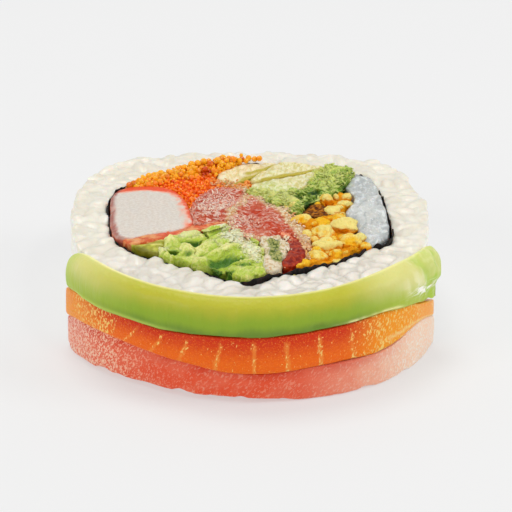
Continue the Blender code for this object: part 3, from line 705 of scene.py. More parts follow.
wedge = Finish("tuna_wedge", 0.36, glow=0.35, glow_depth=0.8, coat=0.04, gloss=0.12)
lines = wedge.cloud(0.8, 5, (1, 0.5, 1), 0.8)
light = wedge.mix((196, 62, 34), ((240, 158, 118), lines.between(0.45, 0.6)))
wedge.paint(
    (124, 14, 2), ((184, 62, 26), lines.between(0.38, 0.68)), (light, wedge.mask("light")),
    ((228, 172, 104), wedge.frayed("coat", lines, 1.6, 0.3, 0.7)))
wedge.relief(lines, 0.2)

points, faces, normals, depth = skin_of("tuna_wedge", 0.18, 2)
x, y = plan(points).T
points += normals * rough(points, (1.3, 71, 0.2), (0.5, 72, 0.08))[:, None]
serve("tuna_crescent", "tuna_wedge", wedge, points, faces,
      light=ramp(y + unevenness(points, 1.5, 73), -11, -6.5),
      coat=np.exp(-depth / 0.8) * ramp(x + y * 0.15, 5.6, 7.2) * 1.1)


# The green stalk: a bean dipped in a thin batter and fried. The cut shows its green heart inside a
# cream coat that has gone rough and crumbly.

stalk = Finish("green_bean", 0.55, glow_depth=0.7, gloss=0.25)
crumbly = stalk.cloud(0.45, 4, twist=0.5)
heart = stalk.mix((88, 108, 40), ((186, 184, 110), crumbly.between(0.42, 0.58)))
stalk.paint(
    (240, 226, 198), ((212, 176, 122), crumbly.between(0.44, 0.66)),
    (heart, stalk.frayed("heart", crumbly, 1.3, 0.2, 0.65)))
stalk.relief(crumbly, 0.6)

points, faces, normals, depth = skin_of("green_bean", 0.18, 2)
heart = beside(points, 1.05, (3.7, -9.6), (4.0, -16.6)) * (1 + unevenness(points, 1.3, 83) * 0.5)
points += normals * rough(points, (1.0, 81, 0.3), (0.45, 82, 0.14))[:, None]
serve("bean_in_batter", "green_bean", stalk, points, faces, heart=heart)


# The avocado chunk: a ripe piece, probably from near the skin, laid in at the front left. It is olive
# green and buttery, paler along its back edge and darker along its front one.

chunk = Finish("avocado_chunk", 0.36, coat=0.1, gloss=0.25)
butter = chunk.cloud(1.6, 3)
chunk.paint(
    (160, 158, 28), ((204, 204, 72), butter.between(0.42, 0.6)),
    ((232, 228, 136), chunk.frayed("light", butter, 1, 0.3, 1)), ((112, 108, 14), chunk.mask("rim")))
chunk.relief(chunk.cloud(0.8, 3), 0.15)

points, faces, normals, depth = skin_of("avocado_chunk", 0.18)
y = plan(points)[:, 1]
light = np.exp(-depth / 0.8) * ramp(y, -10.6, -8.6) + beside(points, 0.5, (-16.5, -10.6), (-12.6, -11)) * 0.7
points += normals * rough(points, (1.6, 91, 0.24), (0.7, 92, 0.08))[:, None]
serve("avocado_bit", "avocado_chunk", chunk, points, faces, light=light,
      rim=np.exp(-depth / 0.7) * ramp(y, -9, -12))


# The shiitake: a bit of simmered mushroom, brown and soft, that lies among the crumbs. It is
# darker round its edge.

mushroom = Finish("shiitake", 0.45, glow=0.3, glow_depth=0.6, coat=0.02, gloss=0.08)
simmered = mushroom.cloud(0.8, 3, twist=0.5)
mushroom.paint(
    (92, 40, 2), ((184, 112, 18), simmered.between(0.42, 0.58)), ((50, 22, 2), mushroom.mask("rim")))
mushroom.relief(simmered, 0.4)

points, faces, normals, depth = skin_of("shiitake", 0.18)
points += normals * rough(points, (1.0, 95, 0.35), (0.5, 96, 0.15))[:, None]
serve("mushroom_bit", "shiitake", mushroom, points, faces, rim=np.exp(-depth / 0.4) * 0.8)


# The battered strip: a long piece of pink tuna across the middle, torn rather than cut, so it is
# rough and glistens with pale shreds. Cream batter clings along its right and lower edges.

FRINGE = [(-6.2, 14.6), (-3, 13.9), (-0.9, 11.4), (0.4, 9), (2, 6.9), (4, 5), (5.6, 2.6), (6.3, 0), (7, -3),
          (8, -6), (9, -9.4)]
UNDERSIDE = [(-0.6, 7.6), (-1.4, 4.6), (-3, 2), (-3.4, -2), (-2.8, -5), (-1, -7.3), (1.4, -8.4)]

strip = Finish("tuna_strip", 0.34, glow_depth=0.7, coat=0.08, gloss=0.15)
torn = strip.cloud(0.4, 4, twist=1.2)
flecks = strip.cloud(0.7, 5, (0.7, 1.1, 1), 1.2)
pale = (flecks + strip.mask("shine") * 0.1).between(0.48, 0.64) * (0.9 - strip.mask("ripe") * 0.45)
batter = strip.mix((252, 234, 196), ((230, 176, 116), torn.between(0.42, 0.6)))
strip.paint(
    (222, 112, 78), ((214, 72, 32), strip.mask("ripe")), ((192, 76, 54), strip.mask("shine") * 0.7),
    ((186, 48, 26), (1 - flecks).between(0.52, 0.66) * 0.6), ((252, 222, 208), pale),
    (batter, strip.frayed("batter", torn, 1.8, 0.2, 0.8)))
strip.relief(torn, 0.6)

points, faces, normals, depth = skin_of("tuna_strip", 0.22, 2)
points[:, 2] = np.where(points[:, 2] > THICK, THICK + (points[:, 2] - THICK) * 0.75, points[:, 2])
left = plan(points)[:, 0] < 0
batter = beside(points, 0.9, *FRINGE) + beside(points, 0.8, *UNDERSIDE) * 0.6
shine = near(points, -6, 4.4, 3.4, 1.3, 60) + near(points, -1.4, -1.8, 1.9)
ripe = near(points, 0.8, 0.6, 2.0, 1.4, 60) * 1.2 + beside(points, 1.5, (2.6, -3), (6.5, -9))
ripe = ripe * 1.2 + near(points, -4.4, 9.6, 1.8, 1.2, 60) * 0.7 + near(points, -7, 8.4, 2, 1.4, 60) * 0.7
bumps = rough(points, (1.5, 101, 0.22), (0.4, 103, 0.1)) + folds(points, 0.8, 102) * 0.1
points += normals * (bumps * (1 + 0.4 * np.clip(batter, 0, 1)))[:, None]
serve("battered_strip", "tuna_strip", strip, points, faces, batter=batter, shine=shine, ripe=ripe)

# Torn shreds stand up where it glistens, and crumbs of batter have come off along its edges. Along
# each line: how many to the millimetre, how widely spread, how brown.
SHINES = [(-6.6, 3.2, 2.2), (-5.2, 7.6, 1.7), (-3, 4.5, 1.6), (-1.8, -1.6, 1.3), (0.6, -2.4, 1.1)]
CRUMBED = [
    (FRINGE[:3], 12, 0.7, 1.1), (FRINGE[2:], 20, 0.6, 0.55), (UNDERSIDE[:4], 8, 0.4, 0.6),
    (UNDERSIDE[3:], 18, 0.5, 0.3), ([(5.7, -8), (6, -12), (5.4, -18)], 14, 0.3, 0.2),
    ([(8.4, -9), (8.9, -12), (8.4, -15.4)], 22, 0.45, 0.8),
]
SHREDS, EDGE_SHREDS = 220, 300  # tries in each spot, and along the torn edge
SHRED_GAP = 0.3


def laid_on(points, normals, spots):
    """Spots of the plan with the height of a piece's upper face there."""
    upper = points[(normals[:, 2] > 0.4) & (points[:, 2] > THICK - 3)]
    nearest = [np.argmin(((upper[:, :2] - spot) ** 2).sum(axis=1)) for spot in spots]
    return np.c_[spots, upper[nearest, 2]]


rng = np.random.default_rng(105)
bit, bit_faces = ball(5, 4)
shred = Finish("shreds", 0.3, glow_depth=0.4, coat=0.1, gloss=0.2)
shred.paint((218, 82, 40), ((255, 230, 208), shred.mask("pale")))
shiny = np.concatenate([rng.normal(0, size * 0.6, (SHREDS, 2)) + (x, y) for x, y, size in SHINES])
shiny = kept_apart(shiny + PLAN_SHIFT, SHRED_GAP)
torn_edge = (normals[:, 2] > 0.2) & (points[:, 2] > THICK - 1) & (depth < 0.5) & left
edge = kept_apart(points[rng.permutation(np.flatnonzero(torn_edge))[:EDGE_SHREDS], :2], SHRED_GAP)
spots = laid_on(points, normals, np.r_[shiny, edge])
count = len(spots)
turn = rng.uniform(0, 2 * math.pi, count)
along, across = np.cos(turn), np.sin(turn) * 2.2  # the shreds lie mostly along the cut, front to back
length = rng.uniform(0.16, 0.4, count) * np.hypot(along, across)
sizes = np.c_[length, np.full((count, 2), 0.12)] * rng.uniform(0.7, 1.2, (count, 3))
spin = np.arctan2(across, along) - math.pi / 2
shreds, shred_faces = strewn(bit * sizes[:, None], bit_faces, spots, rng.normal(UP, 0.2, (count, 3)), spin)
light = np.where(np.arange(count) < len(shiny), 0.7 + 0.4 * ramp(plan(spots)[:, 0], 1, -3), 0.6)
serve("torn_shreds", "tuna_strip", shred, shreds, shred_faces,
      pale=rng.uniform(0.15, 0.95, count) * light)

crumbs = Finish("batter_bits", 0.5, glow_depth=0.4, gloss=0.25)
crumbs.paint((253, 234, 202), ((222, 162, 104), crumbs.mask("toast")))
spots, toast = [], []
for line, per_mm, spread, brown in CRUMBED:
    for start, end in zip(line, line[1:]):
        run = int(per_mm * math.dist(start, end))
        share = rng.uniform(0, 1, (run, 1))
        spots.append(start + np.subtract(end, start) * share + rng.normal(0, spread, (run, 2)))
        toast.append(np.clip(rng.normal(brown, 0.3, run), 0, 1))
spots = laid_on(points, normals, np.concatenate(spots) + PLAN_SHIFT)
count = len(spots)
sizes = rng.uniform(0.08, 0.2, (count, 1)) * rng.uniform(0.6, 1.3, (count, 3)) * (1.4, 1.4, 0.8)
bits, faces = strewn(
    bit * sizes[:, None], bit_faces, spots, rng.normal(UP, 0.4, (count, 3)), rng.uniform(0, 6, count))
serve("batter_crumbs", "tuna_strip", crumbs, bits, faces, toast=np.concatenate(toast))


# The lettuce: crisp leaves folded and crushed into the roll, three bunches of clear yellow-green
# hearts at the front and one frilly darker bunch at the back. The leaves lie over each other like
# tiles, thin and pale at their edges, with painted highlight on their crests, and dark in the seams
# between them, where a deeper green carries painted shade.

def layers(points, spacing, lean, seed):
    """Leaves over each other like tiles: 0 at the foot of each, rising to 1 at its edge."""
    warp = rough(points * (1, 1, 0.3), (spacing * 1.7, seed, 0.9), (spacing * 0.7, seed + 1, 0.3))
    turn = math.radians(lean)
    run = (points[:, 0] * math.cos(turn) + points[:, 1] * math.sin(turn)) / spacing + warp
    share = run - np.floor(run)
    return np.where(share < 0.86, share / 0.86, (1 - share) / 0.14)


def leaf_finish(name, pale, fresh, deep, white):
    leaf = Finish(name, 0.36, glow=0.45, glow_depth=0.8, coat=0.08, gloss=0.18)
    veins = leaf.cloud(0.45, 5, (1, 0.6, 1), 0.8)
    # painted light and shade: pale on the crests, partly the thin edges' own colour and partly painted
    # highlight; deep green in the seams, partly the leaves' own colour and partly painted shade
    leaf.paint(
        fresh, (pale, leaf.frayed("crest", veins, 1.7, 0, 1)),
        (deep, leaf.frayed("seam", veins, 0.7, 0.3, 1)), (white, leaf.frayed("blanched", veins, 1.6, 0.25, 0.9)))
    leaf.relief(veins, 0.45)
    return leaf


def frills(bunch, points, normals, finish, slot, dark, pale, blanched, seed):
    """The torn, curled edges of a bunch's leaves: small bent flakes standing up all over its cut."""
    rng = np.random.default_rng(seed)
    curly = (blanched + (bunch == "back") > 0.4) & (dark < 0.8)
    upper = rng.permutation(np.flatnonzero((normals[:, 2] > 0.3) & (points[:, 2] > THICK - 2.2) & curly))
    spots = kept_apart(points[upper], 0.42 if bunch == "back" else 0.55)
    picks = [upper[np.argmin(((points[upper] - spot) ** 2).sum(axis=1))] for spot in spots]
    count = len(spots)
    dark, pale, blanched = dark[picks], pale[picks], blanched[picks]
    flake, flake_faces = ball(7, 6)
    sizes = rng.uniform(0.28, 0.6, (count, 1)) * rng.uniform(0.8, 1.2, (count, 3)) * (1, 0.6, 0.13)
    flakes = flake * sizes[:, None]
    flakes[:, :, 2] += rng.uniform(-0.3, 0.5, (count, 1)) * flake[:, 0] ** 2 * sizes[:, :1]
    spots[:, 2] = np.minimum(spots[:, 2] + 0.05, THICK + 1.0)
    facing = rng.normal(UP, 0.5, (count, 3))
    flakes, faces = strewn(flakes, flake_faces, spots, facing, rng.uniform(0, 6, count))
    # painted light and shade: each flake's crest is painted lighter and its seam darker
    light = rng.uniform(0.1, 1.3, count) * (1 - 0.5 * np.clip(pale, 0, 1)) + pale * 0.9 - dark
    serve("frills_" + bunch, "lettuce_" + bunch, finish, flakes, faces, slot,
          crest=light, seam=dark * 0.9 - light * 0.3, blanched=blanched * rng.uniform(0.6, 1.2, count))


def ridges(points, seed):
    """Sharp crests with hollows between them, drawn out aslant over the plan."""
    x, y, z = points.T
    return folds(np.c_[(x + y) * math.sqrt(0.5) * 0.35, (y - x) * math.sqrt(0.5), z * 0.3], 0.8, seed)


def leaf_bunch(bunch, finish, slot, spacing, lean, frill, seed, tones, *leaves):
    """Serves one bunch: its folded body, and the single leaves that stand out on its upper face.

    The tones are spots that lie deep and dark, painted a deeper green with painted shade, that stand up
    pale, and that are blanched. Each leaf has its place and height, its turn in degrees, its half length
    and width, and the lift of its tip.
    """
    points, faces, normals, depth = skin_of("lettuce_" + bunch, 0.2, 2)
    large, small = layers(points, spacing, lean, seed), layers(points, spacing * 0.55, lean + 70, seed + 5)
    bumps = unevenness(points, 1.0, seed + 9) * 0.14 + folds(points, 0.6, seed + 10) * 0.06
    bumps += ridges(points, seed + 12) * 0.14
    shapes = [(points, faces, large, small, normals * bumps[:, None], normals)]
    for k, (*place, turn, length, width, tip) in enumerate(leaves):
        leaf, leaf_faces, rim = scrap(place, turn, length, width, tip=tip, seed=seed + k)
        shapes.append((leaf, leaf_faces, 0.45 + rim * 0.35, 0.5 + rim * 0.3, leaf * 0, leaf * 0))
    points, faces, large, small, bumps, normals = joined(*shapes)
    # the dark spots are painted a deeper green with painted shade
    dark, pale, blanched = (sum(near(points, *spot) for spot in spots) for spots in tones)
    crests = ridges(points, seed + 12)
    relief = (large - 0.6) * 0.6 + (small - 0.5) * frill
    relief += np.clip(pale, 0, 1) * 0.2 - np.clip(dark, 0, 1.2) * 0.6
    points = points + bumps + normals * relief[:, None]
    frills(bunch, points, normals, finish, slot, dark, pale, blanched, seed)
    # painted shade in the seams at the feet of the leaves, and painted highlight on the ridges
    seams = (ramp(large, 0.35, 0.05) * 0.45 + ramp(small, 0.3, 0) * frill) * (1 - pale)
    serve("leaves_" + bunch, "lettuce_" + bunch, finish, points, faces, slot, blanched=blanched,
          crest=large * 0.3 + small * 0.15 + crests * 0.2 + pale * 0.6 - dark * 0.5,
          seam=seams - crests * 0.12 + dark * 0.95)


front_leaf = leaf_finish("lettuce", (242, 238, 158), (180, 202, 66), (72, 120, 28), (246, 242, 196))
back_leaf = leaf_finish("lettuce_dark", (214, 222, 118), (132, 168, 56), (48, 88, 28), (218, 220, 126))
FRONT_TONES = [
    [(-4.9, -5.6, 0.6, 3, 30), (-9.0, -9.6, 0.7, 3.4, 32), (-9.6, -13.4, 0.7, 1.8, 40),
     (-11.9, -13.4, 0.6, 1.4, 10), (-5.4, -17.4, 1.6, 1.6, 60), (-5.2, -20.2, 0.9, 1.5, -50),
     (-3.2, -16.6, 1.1, 1.6, 50), (-7.6, -14.2, 0.5, 1.8, 60), (-1.2, -18.6, 0.8, 2.4, 20),
     (-3.4, -21.6, 0.7, 2, 10)],
    [(-14, -12.2, 1.0, 1.5, -60), (-10.2, -6.9, 1.0, 2.4, 28), (-12.6, -9.6, 0.8, 1.4, 30),
     (-8.4, -11.6, 1.7, 1.5, 60), (-7.8, -17, 0.8, 1.5, -40), (-4, -13, 0.9, 1.6, 60)],
    [(-4.6, -3.6, 0.9, 1.6, 30), (-3.6, -7.6, 1.5, 1.3, 110), (-2.2, -7, 1.2, 1.8, 110),
     (-0.6, -11, 1.6, 2.4, 104), (0.8, -15.4, 1.2, 2, 98), (-13.9, -12.6, 0.5, 2, -60)],
]
BACK_TONES = [
    [(9.6, 5.2, 1.3, 1.7, 75), (10.4, 9.6, 1.3, 1.3, 60), (8, 8.4, 0.7, 1.6, 60),
     (15.4, 12.4, 0.8, 1.8, 60), (15.8, 19.8, 0.6, 1.4, 90), (12.4, 11.6, 0.5, 1.6, 40)],
    [(2.4, 9.8, 2.6, 1.6, -40), (6, 6.6, 1.7, 1.6, -50), (9.4, 7.6, 0.5),
     (12.6, 13.8, 1.6, 1.5, 60), (13, 18.4, 2, 1.4, 60), (10.4, 19.6, 1.2, 1.5, 20)],
    [(2.4, 9.8, 2.9, 1.6, -35), (6.2, 6.8, 1.8, 1.6, -50), (10.6, 19.8, 0.8, 2, 15), (14.6, 16, 0.8)],
]
leaf_bunch("left", front_leaf, "lettuce", 4.2, 60, 0.16, 111, FRONT_TONES,
           (-10.2, -7.0, 17.6, 26, 2.6, 1.1, 0.1), (-12.4, -12.0, 17.4, -35, 1.7, 1.1, 0.1))
leaf_bunch("middle", front_leaf, "lettuce", 4.4, 75, 0.16, 112, FRONT_TONES,
           (-6.0, -4.6, 17.7, 25, 2.0, 0.8, 0.1), (-4.6, -9.4, 17.6, 60, 2.2, 1.5, 0.2),
           (-7.6, -16.4, 17.5, -35, 1.7, 1.0, 0.0))
leaf_bunch("front", front_leaf, "lettuce", 4.0, 100, 0.16, 113, FRONT_TONES,
           (-1.8, -19.6, 17.6, 60, 2.0, 1.3, 0.0))
leaf_bunch("back", back_leaf, "lettuce_dark", 2.4, 30, 0.22, 114, BACK_TONES,
           (4.0, 8.4, 17.8, 10, 1.6, 0.9, 0.1), (6.8, 10.2, 17.8, 60, 1.4, 0.9, 0.2),
           (11.6, 13.4, 17.8, 40, 1.7, 1.0, 0.2), (13.8, 17.4, 17.8, 80, 1.8, 1.1, 0.1))


# The roe: capelin eggs, firm clear beads about a millimetre across, spooned in as one sticky heap.
# They pile up gold and separate against the nori, and pack redder and finer towards the middle.

TAN_SPOT = (-1.8, 13.4, 2.4, 1.9, -35)  # where batter from the strip has mixed into the roe
HEAP_TOP = ((-21, -16, -10, -5, 2), (17.5, 17.9, 18.3, 18.8, 18.8))  # it is piled higher to the right
BACK_ROW = [
    (-4.6, 22.3), (-3.6, 22.7), (-2.5, 22.9), (-1.4, 23.1), (-0.3, 23.2), (0.7, 23.1), (1.5, 22.8),
    (-2.9, 21.9), (-1.8, 22.2), (-0.7, 22.4), (0.3, 22.4), (-1, 23.0), (-3.1, 22.9),
]
BIG_GAP, SMALL_GAP = 0.84, 0.5

roe = Finish("roe", 0.25, glow=0.7, glow_depth=0.8, coat=0.3, gloss=0.3)
sticky = roe.cloud(0.6, 4, twist=0.6)
gold = roe.mix(
    (252, 106, 10), ((255, 172, 22), roe.mask("gold")),
    ((232, 156, 70), roe.frayed("tan", sticky, 1.2, 0.1, 0.9)),
    # darker red: some beads' own colour, and painted shade on the core between the beads
    ((186, 46, 6), roe.frayed("dark", sticky, 0.8, 0, 1)))
roe.set("Coat Roughness", 0.05)
roe.set("Base Color", gold)
roe.set("Emission Color", gold)
roe.set("Emission Strength", 0.07)  # painted glow: the beads give off a faint light of their own colour, in place of light gathered inside clear beads
roe.relief(sticky, 0.3)

points, faces, normals, depth = skin_of("roe", 0.28, 4, -0.1)
height, facing = points[:, 2], normals[:, 2]
nori_gap = depth_inside(nori_loop, points[:, :2])
tan = near(points, *TAN_SPOT)
core = points + normals * (tan * 0.2 - 0.15 + unevenness(points, 0.8, 122) * (0.1 + tan * 0.25))[:, None]
core[:, 2] -= np.where(facing > 0.3, 0.5 * np.exp(-depth / 0.9) * (1 - tan), 0)
core[:, 2] = np.minimum(core[:, 2], np.interp(plan(core)[:, 0], *HEAP_TOP) - 0.3 * (1 - tan))
# painted shade: the core shows only between the beads and is painted dark red there, most near the nori
serve("roe_heap", "roe", roe, core, faces, gold=tan * 0.4, tan=tan,
      dark=(0.75 - 0.5 * ramp(nori_gap, 1.5, 4.5)) * (1 - tan))

rng = np.random.default_rng(121)
points[:, 2] = np.minimum(height, np.interp(plan(points)[:, 0], *HEAP_TOP))
showing = ((facing > 0.1) & (height > 15)) | (height > 16.9) | ((height < 1) & (facing < 0))
picks = rng.permutation(np.flatnonzero(showing & (tan < rng.uniform(0.2, 1.1, len(tan)))))
rim_beads = picks[1 - ramp(nori_gap[picks], 1.2, 4.2) > rng.uniform(0, 1, len(picks))]
back_row = np.c_[np.array(BACK_ROW) + PLAN_SHIFT, 18.0 + rng.uniform(-0.2, 0.3, len(BACK_ROW))]
big = kept_apart(np.r_[back_row, points[rim_beads]], BIG_GAP)
spots = kept_apart(np.r_[big, points[picks]], SMALL_GAP)
count = len(spots)
sizes = np.r_[rng.uniform(0.44, 0.66, len(big)), rng.uniform(0.22, 0.34, count - len(big))]
bead, bead_faces = ball(10, 7)
above = spots[:, 2] > THICK / 2
gap = depth_inside(nori_loop, spots[:, :2])
lift = rng.uniform(-0.15, 0.2, count) + 0.3 * np.exp(-np.clip(gap, 0, None) / 1.4)
spots[:, 2] = np.where(above, spots[:, 2] + lift, np.maximum(spots[:, 2], sizes))
beads, faces = strewn(bead * sizes[:, None, None], bead_faces, spots, UP, rng.uniform(0, 6, count))
gap += rng.normal(0, 0.7, count)
gold = ramp(gap, 5, 1.8) * rng.uniform(0.5, 1.1, count) + rng.uniform(0, 0.45, count)
dark = (rng.uniform(0, 1, count) < 0.12) * 0.5 + near(spots, -7.5, 18, 1.1, 1.4, 80) * 0.9
serve("roe_beads", "roe", roe, beads, faces, gold=gold, dark=dark, tan=near(spots, *TAN_SPOT) * 1.2)


# The crumbs: lumps of fried egg batter, yellow and dry, heaped loose on the right. They run from
# pale lumps of 3 mm to scraps. Their knobs are painted paler as highlight, and their hollows, their
# undersides and the heap between them browner as painted shade.

# The main lumps of the upper face: place in the plan, height of the middle, half sizes, and how pale.
MAIN_LUMPS = np.array([
    (7.0, 4.6, 17.0, 0.9, 1.6, 1.1, 0.7), (8.1, -1.0, 17.1, 1.4, 1.7, 1.2, 0.3),
    (11.4, -1.2, 16.7, 1.7, 1.6, 1.0, 0), (12.2, 7.8, 17.2, 1.1, 1.1, 1.0, 0.4),
    (15.6, 8.6, 17.2, 0.9, 0.9, 0.9, 0.5), (15.3, 6.0, 17.1, 0.9, 1.0, 0.8, 0.7),
    (13.0, 3.4, 17.1, 1.5, 1.2, 1.0, 0.7), (15.2, -2.6, 17.3, 2.2, 2.1, 1.1, 0.9),
    (11.3, -5.6, 17.2, 1.9, 1.9, 1.3, 0.6), (12.3, -10.4, 17.2, 1.4, 2.2, 1.2, 0.7),
    (15.9, -9.0, 17.1, 2.3, 1.8, 1.2, 0.3), (9.0, -6.0, 16.8, 1.1, 1.5, 1.0, 0.5),
    (10.4, -13.9, 16.9, 1.7, 1.4, 0.9, 0.4), (13.6, -13.0, 16.9, 1.4, 1.1, 0.8, 0.2),
    (8.6, -16.4, 16.9, 1.4, 0.9, 0.8, 0.1), (14.2, 0.6, 16.8, 1.2, 1.2, 0.9, 0.1),
    (17.4, -8.4, 17.7, 0.9, 0.9, 0.7, 0.8), (12.9, -7.4, 16.6, 1.0, 1.0, 0.8, 0.1),
])
LUMP_GAP = 1.6

egg = Finish("crumbs", 0.5, glow=0.2, glow_depth=0.5, gloss=0.12)
baked = egg.cloud(0.6, 4, twist=0.4)
egg.paint(
    (255, 196, 34), ((255, 234, 140), egg.frayed("pale", baked, 1.2, 0.1, 0.8)),
    # browner: painted shade in the hollows, under the lumps and between them
    ((250, 166, 12), egg.frayed("brown", baked, -0.9, 0.3, 0.9)),
    ((184, 88, 6), egg.frayed("brown", baked, -0.9, 0.8, 1.5)))
egg.relief(egg.cloud(0.35, 4), 0.5)

points, faces, normals, depth = skin_of("crumbs", 0.3, 4, -0.3)
points += normals * (unevenness(points, 1.2, 131) * 0.3)[:, None]
# painted shade: the heap between the lumps is painted brown
serve("crumb_heap", "crumbs", egg, points, faces,
      pale=np.zeros(len(points)), brown=0.9 + unevenness(points, 1.5, 132) * 0.3)


def crumb_shapes(fineness, sizes, spots, spin, seed, pale, brown):
    """Popped, knobbly lumps: points, faces, and how pale and how brown each point is."""
    bm = bmesh.new()
    bmesh.ops.create_icosphere(bm, subdivisions=fineness, radius=1)
    rock, rock_faces = shape_of(bm)
    shapes = rock * sizes[:, None]
    swell = np.array([
        rough(shape, (1.1, k, 0.3), (0.32, k + 90, 0.06)) + 0.12 * folds(shape, 0.8, k + 50)
        for k, shape in enumerate(shapes, seed)])
    shapes = shapes * (1 + swell[:, :, None])
    lumps, faces = strewn(shapes, rock_faces, spots, UP, spin)
    # painted light and shade: knobs paler, hollows and the underside of each lump browner
    pale = pale[:, None] + swell * 1.2
    low_down = ramp(-(shapes[:, :, 2] / sizes[:, None, 2]), -0.75, 0.2) * 0.9
    brown = brown[:, None] + np.clip(-swell * 1.2, 0, 1) + low_down
    return lumps.reshape(-1, 3), faces, pale.ravel(), brown.ravel()


rng = np.random.default_rng(141)
main_spots, main_pale = MAIN_LUMPS[:, :3] + (*PLAN_SHIFT, 0), MAIN_LUMPS[:, 6]
showing = np.flatnonzero((np.abs(normals[:, 2]) > 0.5) & ((points[:, 2] > 15) | (points[:, 2] < 1)))
others = kept_apart(np.r_[main_spots, points[rng.permutation(showing)]], LUMP_GAP)[len(main_spots):]
count, above = len(others), others[:, 2] > THICK / 2
sizes = rng.uniform(0.45, 0.9, (count, 3))
others[:, 2] = np.where(above, others[:, 2] - 0.5, np.maximum(others[:, 2], sizes[:, 2]))
small = crumb_shapes(
    3, sizes, others, rng.uniform(0, 6, count), 170, rng.uniform(0, 0.6, count), rng.uniform(0.1, 0.5, count))
large = crumb_shapes(
    4, MAIN_LUMPS[:, 3:6], main_spots, np.zeros(len(main_spots)), 150, main_pale, 0.4 - 0.5 * main_pale)
lumps, faces, pale, brown = joined(large, small)
serve("crumb_lumps", "crumbs", egg, lumps, faces, pale=pale, brown=brown)


# The toppings: three thin slabs laid over each other round the front and pressed to the rice by the
# mat. Ripe avocado lies on top, pale at its inner edge and green where the skin was, and painted
# paler towards both ends as sheen. The knife left a lip near its foot on the left and a folded lobe at
# its right end; the lips and a hollow by the lobe are painted with highlights and white glints.

# Across a slab, in shares of its thickness outwards and of its height upwards.
AVOCADO_SECTION = [
    (0, 0), (0, 0.5), (0, 1), (0.12, 1), (0.45, 0.95), (0.74, 0.83), (0.92, 0.62), (1, 0.36),
    (0.99, 0.16), (0.9, 0.03), (0.5, 0),
]
FISH_SECTION = [
    (0, 0), (0, 0.5), (0, 1), (0.6, 1), (0.9, 0.99), (0.98, 0.9), (1, 0.6), (1, 0.25),
    (0.97, 0.05), (0.82, 0), (0.4, 0),
]
# Where the slabs lie on each other, as degrees round from the front and heights.
AVOCADO_TOP = (
    (-70, -65, -60, -50, -30, 0, 25, 50, 60, 73), (16, 17, 17.6, 17.7, 17.3, 17.2, 17.3, 18, 17.6, 16.7))
AVOCADO_FOOT = (
    (-70, -65, -60, -37, -28, -15, 26, 42, 54, 60, 66, 73),
    (10.3, 11.1, 11.6, 11.6, 11, 11.2, 11.7, 12.1, 11.1, 9.7, 8.7, 7.2))
SALMON_FOOT = (
    (-72, -64, -50, -40, -20, 0, 20, 42, 48, 54, 60, 66, 73),
    (5.1, 6.6, 7.3, 7.2, 6.1, 5, 5.6, 5.4, 6, 7.1, 6.9, 6.0, 4.4))
TUNA_FOOT = (-72, -64, -50, -20, 0, 14, 73), (0, 0.1, 0.5, 0.9, 0.9, 0.1, 0)
FRONT_GAP = 0.12
COLUMNS = 300


def slab(section, reach, thickness, foot, top, wave, seed, flat_foot=False):
    """A topping lofted round the rice: points, faces, and each point's bearing, out and up."""
    share = np.linspace(0, 1, COLUMNS)
    angle = reach[0] + (reach[1] - reach[0]) * share
    order = np.argsort(bearing(rice_loop))
    place, normal = (
        np.stack([np.interp(angle, bearing(rice_loop)[order], side[order]) for side in line.T], axis=1)
        for line in (rice_loop, outward(rice_loop)))
    # the ends are rounded, and the solid's own sections crowd towards them in the same way
    spread = np.arccos(np.clip(1 - 2 * share, -1, 1)) / math.pi
    full = 0.15 + 0.85 * np.sqrt(1 - np.abs(2 * spread - 1) ** 18)
    bend = np.hanning(25)[1:-1] / 12
    low, high, thick = (
        np.convolve(np.pad(np.interp(angle, *line), 11, mode="edge"), bend, mode="valid")
        for line in (foot, top, thickness))
    if flat_foot:
        high = low + (high - low) * (0.4 + 0.6 * full)
    else:
        middle, half = (low + high) / 2, (high - low) / 2 * full
        low, high = middle - half, middle + half
    thick = thick * (0.35 + 0.65 * full) + wave * unevenness(np.c_[angle / 9, angle * 0, angle * 0], 1, seed)
    out, up = np.clip(rounded(np.array(section), 6), 0, 1).T
    spots = place[:, None] + normal[:, None] * (FRONT_GAP + thick[:, None] * out)[:, :, None]
    z = low[:, None] + (high - low)[:, None] * up
    points = np.concatenate((spots, z[:, :, None]), axis=2)
    centre = points[[0, -1]].mean(axis=1)
    count, last = len(out), (COLUMNS - 1) * len(out)
    faces = ring_faces(COLUMNS, count)[:last].tolist()
    for k in range(count):
        ahead = (k + 1) % count
        faces += [(ahead, k, last + count), (k + last, ahead + last, last + count + 1)]
    angle = np.r_[np.repeat(angle, count), reach]
    out, up = (np.r_[np.tile(share, COLUMNS), 0.5, 0.5] for share in (out, up))
    return np.r_[points.reshape(-1, 3), centre], faces, angle, out, up


def pushed_out(points, faces, out, amount):
    """The points moved along their normals by an amount each, but not where they touch the rice."""
    mesh = bpy.data.meshes.new("scratch")
    mesh.from_pydata(points, [], faces)
    moved = points + read(mesh, "normal") * (amount * ramp(out, 0, 0.3))[:, None]
    bpy.data.meshes.remove(mesh)
    return moved


avocado = Finish("avocado", 0.42, glow_depth=1.4, coat=0.06, gloss=0.2)
height = avocado.mask("up") + (avocado.cloud(3.5, 3, (1, 1, 0.4)) - 0.5) * 0.3
# painted sheen: a paler colour towards both ends
ripened = avocado.mix((174, 194, 66), ((220, 217, 134), height.between(0.2, 0.8)))
# painted highlight: white glints in the hollow by the right lobe and along the right lip
drops = avocado.cloud(0.28, 2, (0.12, 0.12, 1)) + avocado.mask("wet") * 0.12
avocado.paint(
    (110, 144, 48), ((146, 176, 46), height.between(0.05, 0.38)),
    ((190, 188, 56), height.between(0.36, 0.92)),
    (ripened, avocado.mask("ends")), ((172, 205, 60), avocado.mask("green")),
    ((236, 234, 178), avocado.mask("pale")), ((246, 240, 168), avocado.mask("edge")),
    ((254, 254, 240), drops.between(0.52, 0.68) * avocado.mask("wet")))
avocado.relief(avocado.cloud(0.9, 3, (1, 1, 0.25)), 0.2)

